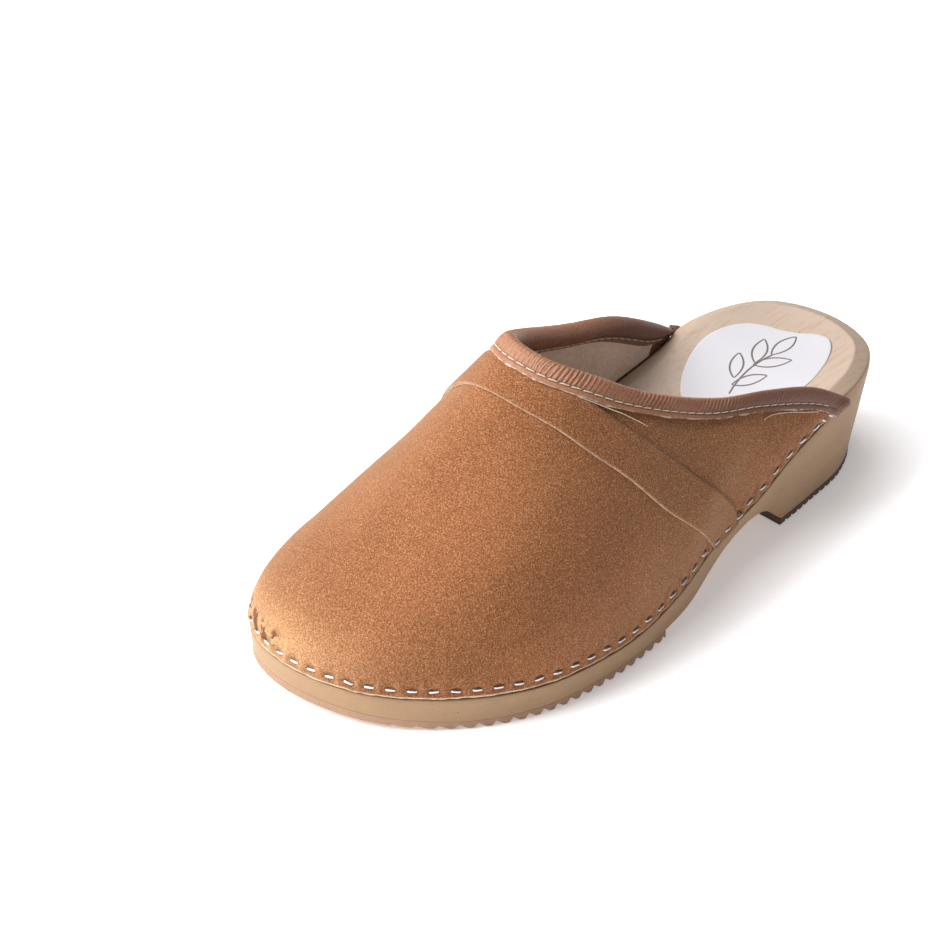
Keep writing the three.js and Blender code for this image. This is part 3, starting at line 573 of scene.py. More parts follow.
def binding_finish(name, colour):
    """Thin smooth leather: fine grain, a painted highlight along the front of the collar, painted shade in the
    stitched furrow and in the troughs of the creases, pale at its cut edge.
    """
    f = Finish(name, Roughness=0.5, Specular_IOR_Level=0.4)
    cloud = f.noise(60, 3, warp=0.5)
    grain = f.cells(1300)
    small = f.noise(1100, 3)
    crest = f.value("crest")
    tone = f.blend(rgb(colour, 0.85), rgb(colour, 1.12), cloud)
    # painted highlight: the front of the collar is made lighter, where the light falls on it
    tone = f.blend(tone, rgb((0.44, 0.20, 0.105)), crest * 0.75)
    # painted shade in the stitched furrow and in the troughs of the creases
    tone = f.blend(tone, rgb(colour, 0.5), f.value("furrow") * 0.6)
    tone = f.blend(tone, rgb(colour, 0.72), grain.step(0.45, 0.8) * 0.35)
    raw = f.value("raw_edge") * f.noise(420, 2, stretch=(1, 1, 0.4)).step(0.42, 0.58)
    tone = f.blend(tone, (0.62, 0.47, 0.36, 1), raw * 0.85)
    f.colour(tone)
    f.roughness(small * 0.25 + 0.38)
    f.bump((small, 0.2, 0.35), (grain, 0.14, 0.45))
    return f.material


def lining_finish(name, colour):
    """The rough flesh side of split leather, greyed and felted."""
    f = Finish(name, Roughness=0.97, Sheen_Weight=0.2, Sheen_Roughness=0.5, Specular_IOR_Level=0.08)
    cloud = f.noise(40, 3, warp=0.8)
    felt = f.noise(800, 4, rough=0.7)
    tone = f.blend(rgb(colour, 0.82), rgb(colour, 1.15), cloud)
    tone = f.blend(tone, rgb(colour, 0.62), felt.step(0.45, 0.75) * 0.5)
    tone = f.blend(tone, rgb(colour, 1.7), (1.0 - felt).step(0.55, 0.75) * 0.4)
    f.colour(tone)
    f.bump((cloud, 0.4, 0.3), (felt, 0.3, 0.6))
    return f.material


def thread_finish(name, colour):
    """Twisted sewing thread."""
    f = Finish(name, Roughness=0.7, Sheen_Weight=0.2, Specular_IOR_Level=0.25)
    fibre = f.noise(2600, 2)
    f.colour(f.blend(rgb(colour, 0.75), rgb(colour, 1.1), fibre))
    f.bump((fibre, 0.08, 0.5))
    return f.material


def wire_finish(name, colour):
    """Bright flat steel wire, lightly scuffed."""
    f = Finish(name, Metallic=1.0, Roughness=0.25)
    scuff = f.noise(900, 3)
    f.colour(f.blend(rgb(colour, 0.8), rgb(colour, 1.1), scuff))
    f.roughness(scuff * 0.3 + 0.15)
    return f.material


def label_finish(name, colour):
    """Smooth white sticker with a printed sprig: a curved stem and leaf outlines."""
    f = Finish(name, Roughness=0.42, Specular_IOR_Level=0.4)
    x, y, _ = f.axes()
    centre = (LABEL_AT[0] + SHIFT[0]) / 1000, (LABEL_AT[1] + SHIFT[1]) / 1000
    u, v = (x - centre[0]) * 1000, (y - centre[1]) * 1000
    ink = None
    for a, b, long, wide, turn in ((-4, 8, 7.0, 2.6, 0.5), (4, 6, 7.0, 2.6, -0.7), (-5, -3, 6.5, 2.4, 0.6),
                                   (4, -6, 6.5, 2.4, -0.6), (0.3, 16, 7.0, 2.6, 0.05)):
        c, n = math.cos(turn), math.sin(turn)
        p = (u - a) * c + (v - b) * n
        q = (v - b) * c - (u - a) * n
        # a leaf: its half width falls with the square of the place along it
        edge = abs(abs(p) - (1.0 - (q / long) ** 2.0) * wide)
        inside = 1.0 - (abs(q) - long).step(-0.2, 0.1)
        line = (1.0 - edge.step(0.22, 0.5)) * inside
        ink = line if ink is None else ink.most(line)
    stem = (1.0 - abs(u - (v * v) * 0.012).step(0.25, 0.55)) * (1.0 - abs(v + 3.0).step(12.0, 12.4))
    ink = ink.most(stem)
    paper = f.noise(300, 2)
    tone = f.blend(rgb(colour, 0.97), rgb(colour, 1.0), paper)
    f.colour(f.blend(tone, (0.10, 0.07, 0.06, 1), ink * 0.9))
    f.bump((paper, 0.03, 0.2))
    return f.material


def board_finish(name, colour):
    """Stiff fibre board."""
    f = Finish(name, Roughness=0.9)
    fibre = f.noise(700, 4)
    f.colour(f.blend(rgb(colour, 0.8), rgb(colour, 1.1), fibre))
    f.bump((fibre, 0.15, 0.4))
    return f.material


# ---- sizes and colours that can be changed ----
class ClogSizes(bpy.types.PropertyGroup):
    """Small sizes that only the looks need."""

    staple_pitch: FloatProperty(name="Staple pitch", description="Distance between staples round the sole",
                                default=0.0073, min=0.005, max=0.02, unit="LENGTH")
    stitch_pitch: FloatProperty(name="Stitch pitch", description="Distance between stitches along the collar",
                                default=0.0041, min=0.002, max=0.01, unit="LENGTH")
    wrinkle_depth: FloatProperty(name="Wrinkle depth", description="Depth of the creases across the binding",
                                 default=0.0004, min=0.0, max=0.001, unit="LENGTH")
    pucker_depth: FloatProperty(name="Pucker depth", description="How far a staple pulls the suede in",
                                default=0.0009, min=0.0, max=0.002, unit="LENGTH")


def colour_setting(name, description, default):
    return FloatVectorProperty(name=name, description=description, default=default, size=3, min=0.0, max=1.0,
                               subtype="COLOR")


class ClogColours(bpy.types.PropertyGroup):
    """Base colours of the finishes."""

    suede: colour_setting("Suede", "Napped leather of the upper and the band", (0.375, 0.152, 0.062))
    binding: colour_setting("Binding", "Smooth leather round the collar", (0.205, 0.09, 0.058))
    wood: colour_setting("Wood side", "Carved sides of the sole", (0.38, 0.232, 0.125))
    footbed: colour_setting("Footbed", "Sanded top of the sole", (0.50, 0.39, 0.315))
    forefoot: colour_setting("Forefoot rubber", "Tread under the forefoot", (0.38, 0.235, 0.155))
    heel: colour_setting("Heel rubber", "Tread under the heel", (0.12, 0.072, 0.048))
    lining: colour_setting("Lining", "Inside of the upper", (0.95, 0.78, 0.66))
    thread: colour_setting("Thread", "Stitches of the binding", (0.70, 0.60, 0.45))
    wire: colour_setting("Staple wire", "Bright steel", (0.52, 0.53, 0.56))
    label: colour_setting("Label", "Sticker in the heel seat", (0.60, 0.59, 0.63))
    board: colour_setting("Toe puff", "Stiffener in the toe", (0.60, 0.50, 0.36))


# ---- staples: where they are decides how the leather puckers ----
def staple_row(pitch):
    """Ways round of the staples, evenly spaced, with a second one close to each end."""
    count = int(round(0.958 * SEAT / pitch))
    s = np.linspace(0.021, 0.979, count)
    return np.concatenate([[s[0] + 0.0065], s, [s[-1] - 0.0065]])


def staple_height(s):
    """Height of the staple line above the lower edge of the leather."""
    y = seat_y(s)
    return np.minimum(3.3, 0.44 * (top_edge(y) - ledge(y)))


def wave(*terms):
    """A gentle uneven wave: sines of several lengths added up, each of (place, length, share)."""
    return sum(share * np.sin(2 * math.pi * place / length + 1.7 * k)
               for k, (place, length, share) in enumerate(terms))


# ---- pieces ----
def sole_loops(count):
    """Matched places on the outer and inner sides, from the heel round the toe and back."""
    even = np.linspace(0, 1, count + 1)
    eased = even - 0.7 * np.sin(2 * math.pi * even) / (2 * math.pi)
    places = mix(AROUND[HEEL], AROUND[TOE], eased)
    y = outline_at(places)[:, 1]
    inner = inner_place(y)
    inner[0], inner[-1] = AROUND[HEEL] + ROUND, AROUND[TOE]
    return np.concatenate([places, inner[-2:0:-1]])


def build_sole(finish):
    """One profile at each place round the footprint: footbed from its middle line out to the rim, chamfer, rebate
    for the leather or plain wall, lower wall, rounded lower edge, and the underside back to the middle line."""
    places = sole_loops(300)
    edge, out = outline_at(places), outward_at(places)
    y = edge[:, 1]
    spine_y = np.clip(y, -88, 92)
    left, right = outline_at(inner_place(spine_y)), outline_at(outer_place(spine_y))
    spine = np.column_stack([(left[:, 0] + right[:, 0]) / 2, spine_y])
    half = (right[:, 0] - left[:, 0]) / 2 - CHAMFER_WIDTH
    s = (places - SEAT_START) / SEAT
    seated = in_rebate(s)
    layer = -SUEDE - GAP
    t = chart_of_layer(layer).place(s, top_edge(y))
    gap = np.sum((edge - leather(s, t, layer)[:, :2]) * out, 1)
    depth = REBATE_SKIN + SUEDE + GAP
    top = seated * np.clip(gap + GAP / 2, depth, 4.5)
    foot = seated * depth
    rise = chamfer_rise(y)
    rim, low_z = top_edge(y), ledge(y)

    def ring(inset, z):
        return np.column_stack([edge - out * np.broadcast_to(inset, y.shape)[:, None], np.broadcast_to(z, y.shape)])

    rings = []
    dish = DISH * ease(half, 4, 24)
    bed = edge - out * (top + CHAMFER_WIDTH + 0.5)[:, None]
    for f in (0, 0.1, 0.2, 0.3, 0.4, 0.5, 0.6, 0.7, 0.8, 0.88, 0.94, 0.98, 1):
        flat = mix(spine, bed, f)
        z = top_edge(flat[:, 1]) + chamfer_rise(flat[:, 1]) - dish * (1 - f * f)
        rings.append(np.column_stack([flat, z]))
    for share, extra in ((1.0, 0.0), (0.9, -0.02), (0.5, 0.0), (0.2, 0.0)):
        rings.append(ring(top + CHAMFER_WIDTH * share, rim + rise * share + extra))
    for inset, drop in ((0.75, 0.02), (0.4, 0.12), (0.14, 0.36), (0.02, 0.75), (0.0, 1.2)):
        rings.append(ring(top + inset, rim + rise * 0.14 - drop))
    for f in (0.15, 0.4, 0.7, 0.94):
        rings.append(ring(mix(top, foot, f), mix(rim - 1.0, low_z, f)))
    rings.append(ring(foot, low_z))
    rings.append(ring(foot * 0.5, low_z))
    for inset, drop in ((0.45, 0.0), (0.12, 0.14), (0.0, 0.5)):
        rings.append(ring(np.minimum(inset, foot), low_z - drop))
    base = edge - out * bottom_inset(y)[:, None]
    base_z = wood_bottom(base[:, 1])
    for f in (0.15, 0.35, 0.55, 0.75, 0.9):
        rings.append(ring(bottom_inset(y) * f, mix(low_z - 0.5, base_z + 0.6, f)))
    soft = np.where((base[:, 1] > FORE_REAR) & (base[:, 1] < HEEL_BREAST), 1.0, 0.25)
    for inset, lift in ((0.0, 0.6), (0.18, 0.18), (0.6, 0.0)):
        rings.append(np.column_stack([base - out * (inset * soft)[:, None], base_z + lift * soft]))
    under = base - out * (0.6 * soft)[:, None]
    for f in (0.9, 0.7, 0.5, 0.3, 0.15, 0):
        flat = mix(spine, under, f)
        rings.append(np.column_stack([flat, wood_bottom(flat[:, 1])]))
    points = np.stack(rings, 1)
    n, m = points.shape[:2]
    side = np.zeros((n, m))
    side[:, 13:] = [[0.25] * 4 + [0.45] * 2 + [1.0] * (m - 19)] * n
    return make_piece("carved_sole", points, quads(n, m, wrap_n=True), finish, ["wooden_sole"],
                      {"side": side}, sharp=60)


def rubber_sheet(name, ys, lower, upper, finish, node):
    """Rings across the sole at each place along it: rounded sides between a lower and an upper height."""
    loop = OUTLINE - OUTWARDS * bottom_inset(OUTLINE[:, 1])[:, None]
    back, tip = int(np.argmax(loop[:80, 1])), int(np.argmin(loop[:, 1]))
    right, left = loop[back:tip + 1], loop[np.arange(back + 1440, tip - 1, -1) % 1440]
    x1 = np.interp(-ys, -right[:, 1], right[:, 0])
    x0 = np.interp(-ys, -left[:, 1], left[:, 0])
    for end, place in ((0, tip), (-1, back)):
        if abs(ys[end] - loop[place, 1]) < 0.2:
            x0[end] = x1[end] = loop[place, 0]
    room = np.minimum(0.5, (x1 - x0) / 4)
    low, high = lower(ys), upper(ys)
    across = [(x0 + room, low), (x0 + room * 0.3, low + 0.12), (x0, low + 0.5), (x0, mix(low, high, 0.6)),
              (x0, high), (x0 + room, high), (mix(x0, x1, 0.33), high), (mix(x0, x1, 0.66), high),
              (x1 - room, high), (x1, high),
              (x1, mix(low, high, 0.6)), (x1, low + 0.5), (x1 - room * 0.3, low + 0.12), (x1 - room, low),
              (mix(x0, x1, 0.66), low), (mix(x0, x1, 0.33), low)]
    points = np.stack([np.column_stack([x, ys, z]) for x, z in across], 1)
    return make_piece(name, points, tube(*points.shape[:2]), finish, [node], sharp=25)


def build_outsoles(fore_finish, heel_finish):
    """Forefoot: a sawtooth tread whose ribs run across. Heel: a thin lift with shallow ribs."""
    pitch, depth, front = 5.4, 1.7, -118.0
    teeth = np.arange(int((FORE_REAR - 2 - front) / pitch) + 1)
    tooth = (front + teeth[:, None] * pitch + np.array([0.02, 0.4, 2.4, 2.8, 4.2, 5.36])[None]).ravel()
    shape = np.tile([1.0, 0.96, 0.1, 0.0, 0.0, 0.92], len(teeth))
    tip = float((OUTLINE - OUTWARDS * bottom_inset(OUTLINE[:, 1])[:, None])[:, 1].min())
    ends = tip + (front - 0.3 - tip) * np.linspace(0, 1, 26) ** 2
    ys = np.unique(np.concatenate([ends, tooth[tooth < FORE_REAR - 0.5], [FORE_REAR]]))

    def tread(y):
        cut = np.interp(y, tooth, shape, left=0.0, right=0.0) * ease(y, front - 1, front + 24) * 0.75
        return toe_rise(y) + depth * np.where(y < front, 0, cut + 0.25 * np.interp(y, tooth, shape, left=0, right=0))

    rubber_sheet("forefoot_tread", ys, tread, lambda y: wood_bottom(y) - 0.02, fore_finish,
                 "forefoot_outsole")
    back = float((OUTLINE - OUTWARDS * bottom_inset(OUTLINE[:, 1])[:, None])[:, 1].max())
    ribs = np.arange(HEEL_BREAST + 3, back - 4, 3.6)
    rib = (ribs[:, None] + np.array([0, 0.25, 1.3, 1.55])[None]).ravel()
    rib_shape = np.tile([0, 1.0, 1.0, 0], len(ribs))
    ends = back - (back - rib[-1] - 0.3) * np.linspace(1, 0, 22) ** 2
    ys = np.unique(np.concatenate([[HEEL_BREAST, HEEL_BREAST + 1.5], rib, ends]))
    rubber_sheet("heel_tread", ys, lambda y: 0.8 * np.interp(y, rib, rib_shape, left=0, right=0),
                 lambda y: np.full_like(y, HEEL_RUBBER + 0.28), heel_finish, "heel_outsole")


def sheet_of_leather(s, t, offset, inner):
    """Rings round a sheet's edge: its outer face going up and its inner face coming down."""
    outer_points = leather(s, t, offset)
    inner_points = leather(s, t, inner)
    return np.concatenate([outer_points, inner_points[:, ::-1]], 1)


def build_upper(finish, pitch, pucker):
    """The suede: dimpled at each staple and swelling between them, a faint step over the toe puff, and uneven
    as lasted leather is."""
    n = 560
    s = np.linspace(UPPER_END, 1 - UPPER_END, n)[:, None]
    top = DEPTH.place(s, 1.6)
    reach = UP.value(s, top)
    low = np.array([0, 0.35, 0.9, 1.6, 2.3, 2.9, 3.4, 3.9, 4.5, 5.3, 6.3, 7.5, 9, 11])[None]
    rest = np.linspace(0, 1, 49)[None, 1:]
    near = np.minimum(low, reach * low / 14)
    up = np.concatenate([near, near[:, -1:] + (reach - near[:, -1:]) * rest], 1)
    t = UP.place(s, up)
    way = s * SEAT
    row = staple_row(pitch)
    gap = np.min(np.abs(way - (row * SEAT)[None]), 1, keepdims=True)
    line = staple_height(s)
    strength = ease(line, 0.8, 3.0)
    pull = np.exp(-((gap / 2.5) ** 2) - ((up - line) / 1.7) ** 2)
    swell = np.exp(-(((gap - 3.65) / 1.5) ** 2) - ((up - line - 0.5) / 3.2) ** 2)
    gather = np.exp(-((up / 12) ** 2)) * wave((way, 14.6, 0.5), (way + up, 7.3, 0.4), (way - up, 5.1, 0.2))
    lumps = wave((way + 0.6 * up, 71, 0.5), (up - 0.3 * way, 43, 0.5), (way, 29, 0.25)) * ease(up, 6, 30)
    puff = 0.35 * (1 - ease(np.hypot((s - 0.525) / 0.16, up / 34.0), 0.9, 1.06)) * ease(up, 3, 9)
    roll = -0.15 * (1 - ease(up, 0, 0.8)) ** 2
    offset = strength * pucker * (0.55 * swell - pull) + 0.2 * gather * strength + 0.12 * lumps + puff * 0.8 + roll
    offset = np.minimum(offset, 0.9)
    hem = 0.11 * wave((way, 7.3, 0.5), (way, 5.9, 0.4), (way, 23, 0.5)) * (1 - ease(up, 0, 2.5)) * strength
    t = np.clip(t + (UP.place(s, np.maximum(up + hem + 0.2, 0)) - t) * (up < 3), 0, 1)
    inner = np.full_like(offset, -SUEDE)
    points = sheet_of_leather(s, t, offset, inner)
    # dark smudges above the toe staples; the pull term added to them is painted shade in each staple's dimple
    smudge = np.exp(-(((up - 6.0) / 2.6) ** 2)) * np.exp(-(((gap - 2.6) / 1.3) ** 2))
    smudge = 2.6 * smudge * ease(s, 0.528, 0.54) * (1 - ease(s, 0.576, 0.59)) + 0.35 * pull * strength
    # painted highlight: a lighter patch low on the toe
    rubbed = 1.15 * np.exp(-(((s - 0.55) / 0.07) ** 2) - ((t - 0.12) / 0.14) ** 2)
    raw = (1 - ease(up, 0.35, 0.9)) * (0.45 + 0.55 * ease(s, 0.25, 0.4)) * np.ones_like(s)
    both = lambda a, fill=0.0: np.concatenate([a * np.ones_like(up), np.full(up.shape, fill)], 1)
    return make_piece("suede_upper", points, tube(*points.shape[:2]), finish, ["upper"],
                      {"smudge": both(smudge), "raw_edge": both(raw, 0.2), "rubbed": both(rubbed)}, sharp=60)


def build_lining(finish):
    """Lies under the suede from just above the wood to the fold of the binding, bulged over the toe puff."""
    s = np.linspace(LINING_END, 1 - LINING_END, 260)[:, None]
    low_z = top_edge(seat_y(s)) + 0.6 * chamfer_rise(seat_y(s)) + 2 * GAP
    low = chart_of_layer(-SUEDE - PUFF - LINING - 2 * GAP).place(s, low_z)
    high = DEPTH.place(s, 1.6)
    t = mix(low, high, np.linspace(0, 1, 44)[None])
    up = UP.value(s + 0 * t, t) - UP.value(s, low)
    puff = 1 - ease(np.hypot((s - 0.525) / 0.16, np.maximum(0, up) / 24), 1.15, 1.6)
    way = s * SEAT
    offset = -SUEDE - GAP - (PUFF + GAP) * puff - 0.1 + 0.1 * wave((way + up, 37, 0.5), (up - 0.4 * way, 23, 0.5))
    points = sheet_of_leather(s, t, offset, offset - LINING)
    return make_piece("lining_leather", points, tube(*points.shape[:2]), finish, ["lining"], sharp=60)


def build_band(finish, pitch):
    """A strip across the instep between two lines on the upper, with cut edges."""
    def even(knots, count=420):
        s = np.linspace(knots[0][0], knots[-1][0], 1600)
        line = np.column_stack([s, through(knots)(s)])
        walked = lengths(face(line[:, 0], line[:, 1]))
        line = along(walked, line, np.linspace(0, walked[-1], count))
        wide = np.exp(-np.linspace(-2, 2, 41) ** 2)
        padded = np.concatenate([2 * line[:1] - line[20:0:-1], line, 2 * line[-1:] - line[-2:-22:-1]])
        return np.column_stack([np.convolve(axis, wide / wide.sum(), "valid") for axis in padded.T])

    front, rear = even(BAND_FRONT), even(BAND_REAR)
    rear_t = np.minimum(rear[:, 1], DEPTH.place(rear[:, 0], 8.0))
    rear = np.column_stack([rear[:, 0], rear_t])
    v = np.concatenate([[0, 0.012, 0.035], np.linspace(0.08, 0.92, 18), [0.965, 0.988, 1]])[None, :, None]
    st = mix(front[:, None], rear[:, None], v)
    s, t = st[..., 0], st[..., 1]
    across = v[..., 0]
    way = (s * SEAT)
    edge = np.minimum(across, 1 - across)
    row = staple_row(pitch)
    gap = np.min(np.abs(way[..., None] - (row * SEAT)), -1)
    up = UP.value(s, t)
    pull = np.exp(-((gap / 2.5) ** 2) - ((up - staple_height(s)) / 1.8) ** 2)
    under = DEPTH.value(s, t)
    tucked = 1 - ease(under, 8.6, 12.0)
    outer = 1.45 - 0.3 * (1 - ease(edge, 0, 0.04)) + 0.06 * wave((way, 31, 0.5), (up, 17, 0.4)) - 0.6 * pull
    outer = mix(outer, 0.9, tucked)
    points = sheet_of_leather(s, t, outer, np.full_like(s, 0.12))
    raw = (1 - ease(across, 0.0, 0.02)) * np.ones_like(s) * 0.38
    # painted shadow along the band's rear edge, on both its faces
    dark = (1 - ease(1 - across, 0.010, 0.050)) * np.ones_like(s)
    rim = np.where((across <= 0.0) * np.ones_like(s) > 0, 0.9, 0.2)
    values = {"raw_edge": np.concatenate([raw, rim[:, ::-1]], 1), "crease": np.concatenate([dark, dark[:, ::-1]], 1)}
    return make_piece("instep_strap", points, tube(*points.shape[:2]), finish, ["instep_band"], values,
                      sharp=50)


def fold_offsets(s):
    """Where the binding's inner flap lies: over the lining, or on the suede beyond the lining's ends."""
    lined = np.minimum(s, 1 - s) > LINING_END - 0.001
    return np.where(lined, -SUEDE - LINING - 3 * GAP - 1.0, -SUEDE)


def build_binding(finish, wrinkle):
    """A thin leather folded over the collar: round on top, stitched down in a furrow, creased across where it
    turns over the instep, with both cut edges showing."""
    n = 1350
    s = np.linspace(0.0005, 0.9995, n)[:, None]
    room = np.minimum(9.5, DEPTH.value(s, 0.04))
    deep = mix(-SUEDE - 1.1, -4.5, ease(np.minimum(s, 1 - s), 0.030, 0.052))
    low_z = top_edge(seat_y(s)) + 0.6 * chamfer_rise(seat_y(s)) + 2 * GAP
    clear = DEPTH.value(s, chart_of_layer(-4.5).place(s, low_z))
    inner_room = np.clip(clear, 0.8, room)
    out_face, middle = 1.35, (1.35 + deep) / 2
    half = (out_face - deep) / 2
    profile = []
    for f in (1.0, 0.985, 0.94, 0.86, 0.79, 0.76, 0.735, 0.71, 0.68, 0.62, 0.52, 0.42, 0.32, 0.24):
        profile.append((room * f, np.full_like(s, out_face)))
    for angle in np.linspace(0, math.pi, 13):
        tall = np.minimum(2.2, room * 0.24)
        profile.append((tall * (1 - np.sin(angle)), middle + half * np.cos(angle)))
    for f in (0.24, 0.4, 0.55, 0.68, 0.73, 0.78, 0.9, 1.0):
        profile.append((inner_room * f, deep * np.ones_like(s)))
    inner_lip = deep + 0.95
    for f in (1.0, 0.6, 0.3):
        profile.append((inner_room * f, inner_lip))
    profile.append((np.minimum(1.35, inner_room * 0.28), inner_lip))
    profile.append((np.minimum(1.35, room * 0.2), np.full_like(s, 0.33)))
    for f in (0.3, 0.5, 0.7, 0.9, 1.0):
        profile.append((room * f, np.full_like(s, 0.33)))
    depth = np.concatenate([p[0] * np.ones_like(s) for p in profile], 1)
    base = np.concatenate([p[1] * np.ones_like(s) for p in profile], 1)
    if depth.shape[1] % 2:
        depth, base = depth[:, :-1], base[:, :-1]
    outside = np.arange(depth.shape[1])[None] < 34
    walk = s * COLLAR_LENGTH
    # painted highlight along the front of the collar, where the light falls on it
    crest = ease(s, 0.16, 0.30) * (1 - ease(s, 0.74, 0.88))
    fade = 0.30 + 0.70 * ease(s, 0.10, 0.30) * (1 - ease(s, 0.80, 0.92))
    warp = (0.35 * np.sin(walk / 7.3) + 0.5 * np.sin(depth / 3.1 + walk / 11.0)
            + 0.3 * np.sin(walk / 3.7 + depth / 5.0))
    folds = np.sin(2 * math.pi * (walk / 1.75) + 2.2 * warp) * (0.6 + 0.4 * np.sin(walk / 5.1))
    folds = folds + 0.5 * np.sin(2 * math.pi * walk / 0.97 + 3.0 * np.sin(walk / 4.3 + depth / 2.0))
    amount = wrinkle * fade * (1 - ease(depth, 6.2, 7.4))
    puff = 0.35 * np.exp(-(((depth - 4.0) / 2.2) ** 2)) * (room > 6)
    furrow = np.exp(-(((depth - 7.0) / 0.55) ** 2)) * (room > 8.5)
    away = np.where(np.arange(depth.shape[1])[None] < 20, 1.0, -1.0)
    edge_wave = 0.35 * wave((walk, 13, 0.5), (walk, 31, 0.5), (walk, 5.3, 0.2))
    moved = base + away * outside * (amount * folds * 0.5 + puff - 0.35 * furrow)
    depth = depth + np.where(np.isclose(depth, room * 1.0) & outside[:, :], edge_wave * ease(room, 5, 9), 0)
    tip = np.clip(np.minimum(s / 0.020, (1 - s) / 0.026), 0.02, 1) ** 0.8
    depth = room - (room - depth) * tip
    moved = mix(-0.3, moved, 0.12 + 0.88 * tip)
    t = DEPTH.place(s + 0 * depth, depth)
    points = leather(s + 0 * depth, t, moved)
    first = np.arange(depth.shape[1])[None] < 2
    raw = np.where(first | (np.arange(depth.shape[1])[None] == depth.shape[1] - 1), 1.0, 0.0) * ease(room, 7, 9)
    # painted shade in the troughs of the creases, stored with the furrow's painted shade
    shade = 0.35 * np.clip(-folds, 0, 1) * fade * outside * (depth < 6.6)
    values = {"crest": crest * np.ones_like(depth), "furrow": furrow * outside + shade,
              "raw_edge": raw * np.ones_like(depth)}
    return make_piece("collar_fold", points, tube(*points.shape[:2]), finish, ["collar_binding"],
                      values, sharp=60)


# Two needle thread ends left hanging below the binding: [way round, depth, height over the suede].
LOOSE_RADIUS = 0.17
LOOSE_THREADS = [
    [(0.052, 9.9, 1.1), (0.075, 10.4, 0.5), (0.1, 10.3, 0.45), (0.125, 10.6, 0.5), (0.137, 11.3, 0.7),
     (0.1425, 12.6, 0.6)],
    [(0.43, 9.6, 1.0), (0.405, 10.1, 1.5), (0.375, 10.8, 1.8), (0.35, 12.2, 1.2), (0.328, 13.6, 0.5)],
]


def loose_thread(knots):
    """A thin round thread along a smooth line of places on the leather."""
    knots = np.array(knots)
    line = np.stack([through(np.column_stack([np.arange(len(knots)), axis]))(np.linspace(0, len(knots) - 1, 90))
                     for axis in knots.T], -1)
    middle = leather(line[:, 0], DEPTH.place(line[:, 0], line[:, 1]), line[:, 2])
    ahead = unit(np.gradient(middle, axis=0))
    across = unit(np.cross(ahead, outward(line[:, 0], DEPTH.place(line[:, 0], line[:, 1]))))
    over = np.cross(across, ahead)
    angle = np.arange(6) * math.pi / 3
    ring = across[:, None] * np.cos(angle)[None, :, None] + over[:, None] * np.sin(angle)[None, :, None]
    return middle[:, None] + LOOSE_RADIUS * ring


def stitches(name, face_offset, sign, pitch, finish, node, threads=()):
    """Short arched threads, each dipping into the leather at both ends, and the thread ends left loose."""
    length = COLLAR_LENGTH * 0.915
    count = int(length / pitch)
    start = 0.04 + 0.915 * (np.arange(count) + 0.5) / count
    u = np.linspace(-1, 1, 9)
    angle = np.linspace(0, 2 * math.pi, 7)[:-1]
    arch = (1 - u**4) * 0.34 - 0.20
    thick = 0.23 * np.sqrt(np.clip(1 - u**6, 0.12, 1))
    s = start[:, None, None] + (u * 0.44 * pitch / COLLAR_LENGTH)[None, :, None] + 0 * angle
    slant = 0.06 * u[None, :, None]
    depth = 7.0 + slant + thick[None, :, None] * np.sin(angle)[None, None] * 1.05 + 0 * s
    rise = arch[None, :, None] + 0.8 * thick[None, :, None] * np.cos(angle)[None, None]
    points = leather(s, DEPTH.place(s, depth), face_offset(s) + sign * rise)
    k, n, m = points.shape[:3]
    points, faces = points.reshape(-1, 3), copies(tube(n, m), n * m, k)
    for knots in threads:
        loose = loose_thread(knots)
        faces = np.concatenate([faces, tube(*loose.shape[:2]) + len(points)])
        points = np.concatenate([points, loose.reshape(-1, 3)])
    return make_piece(name, points, faces, finish, [node], sharp=80)


def build_stitches(finish, pitch):
    stitches("needle_stitches", lambda s: 1.25 + 0 * s, 1, pitch, finish, "needle_thread", LOOSE_THREADS)
    stitches("bobbin_stitches", lambda s: fold_offsets(s) - 0.75, -1, pitch, finish, "bobbin_thread")


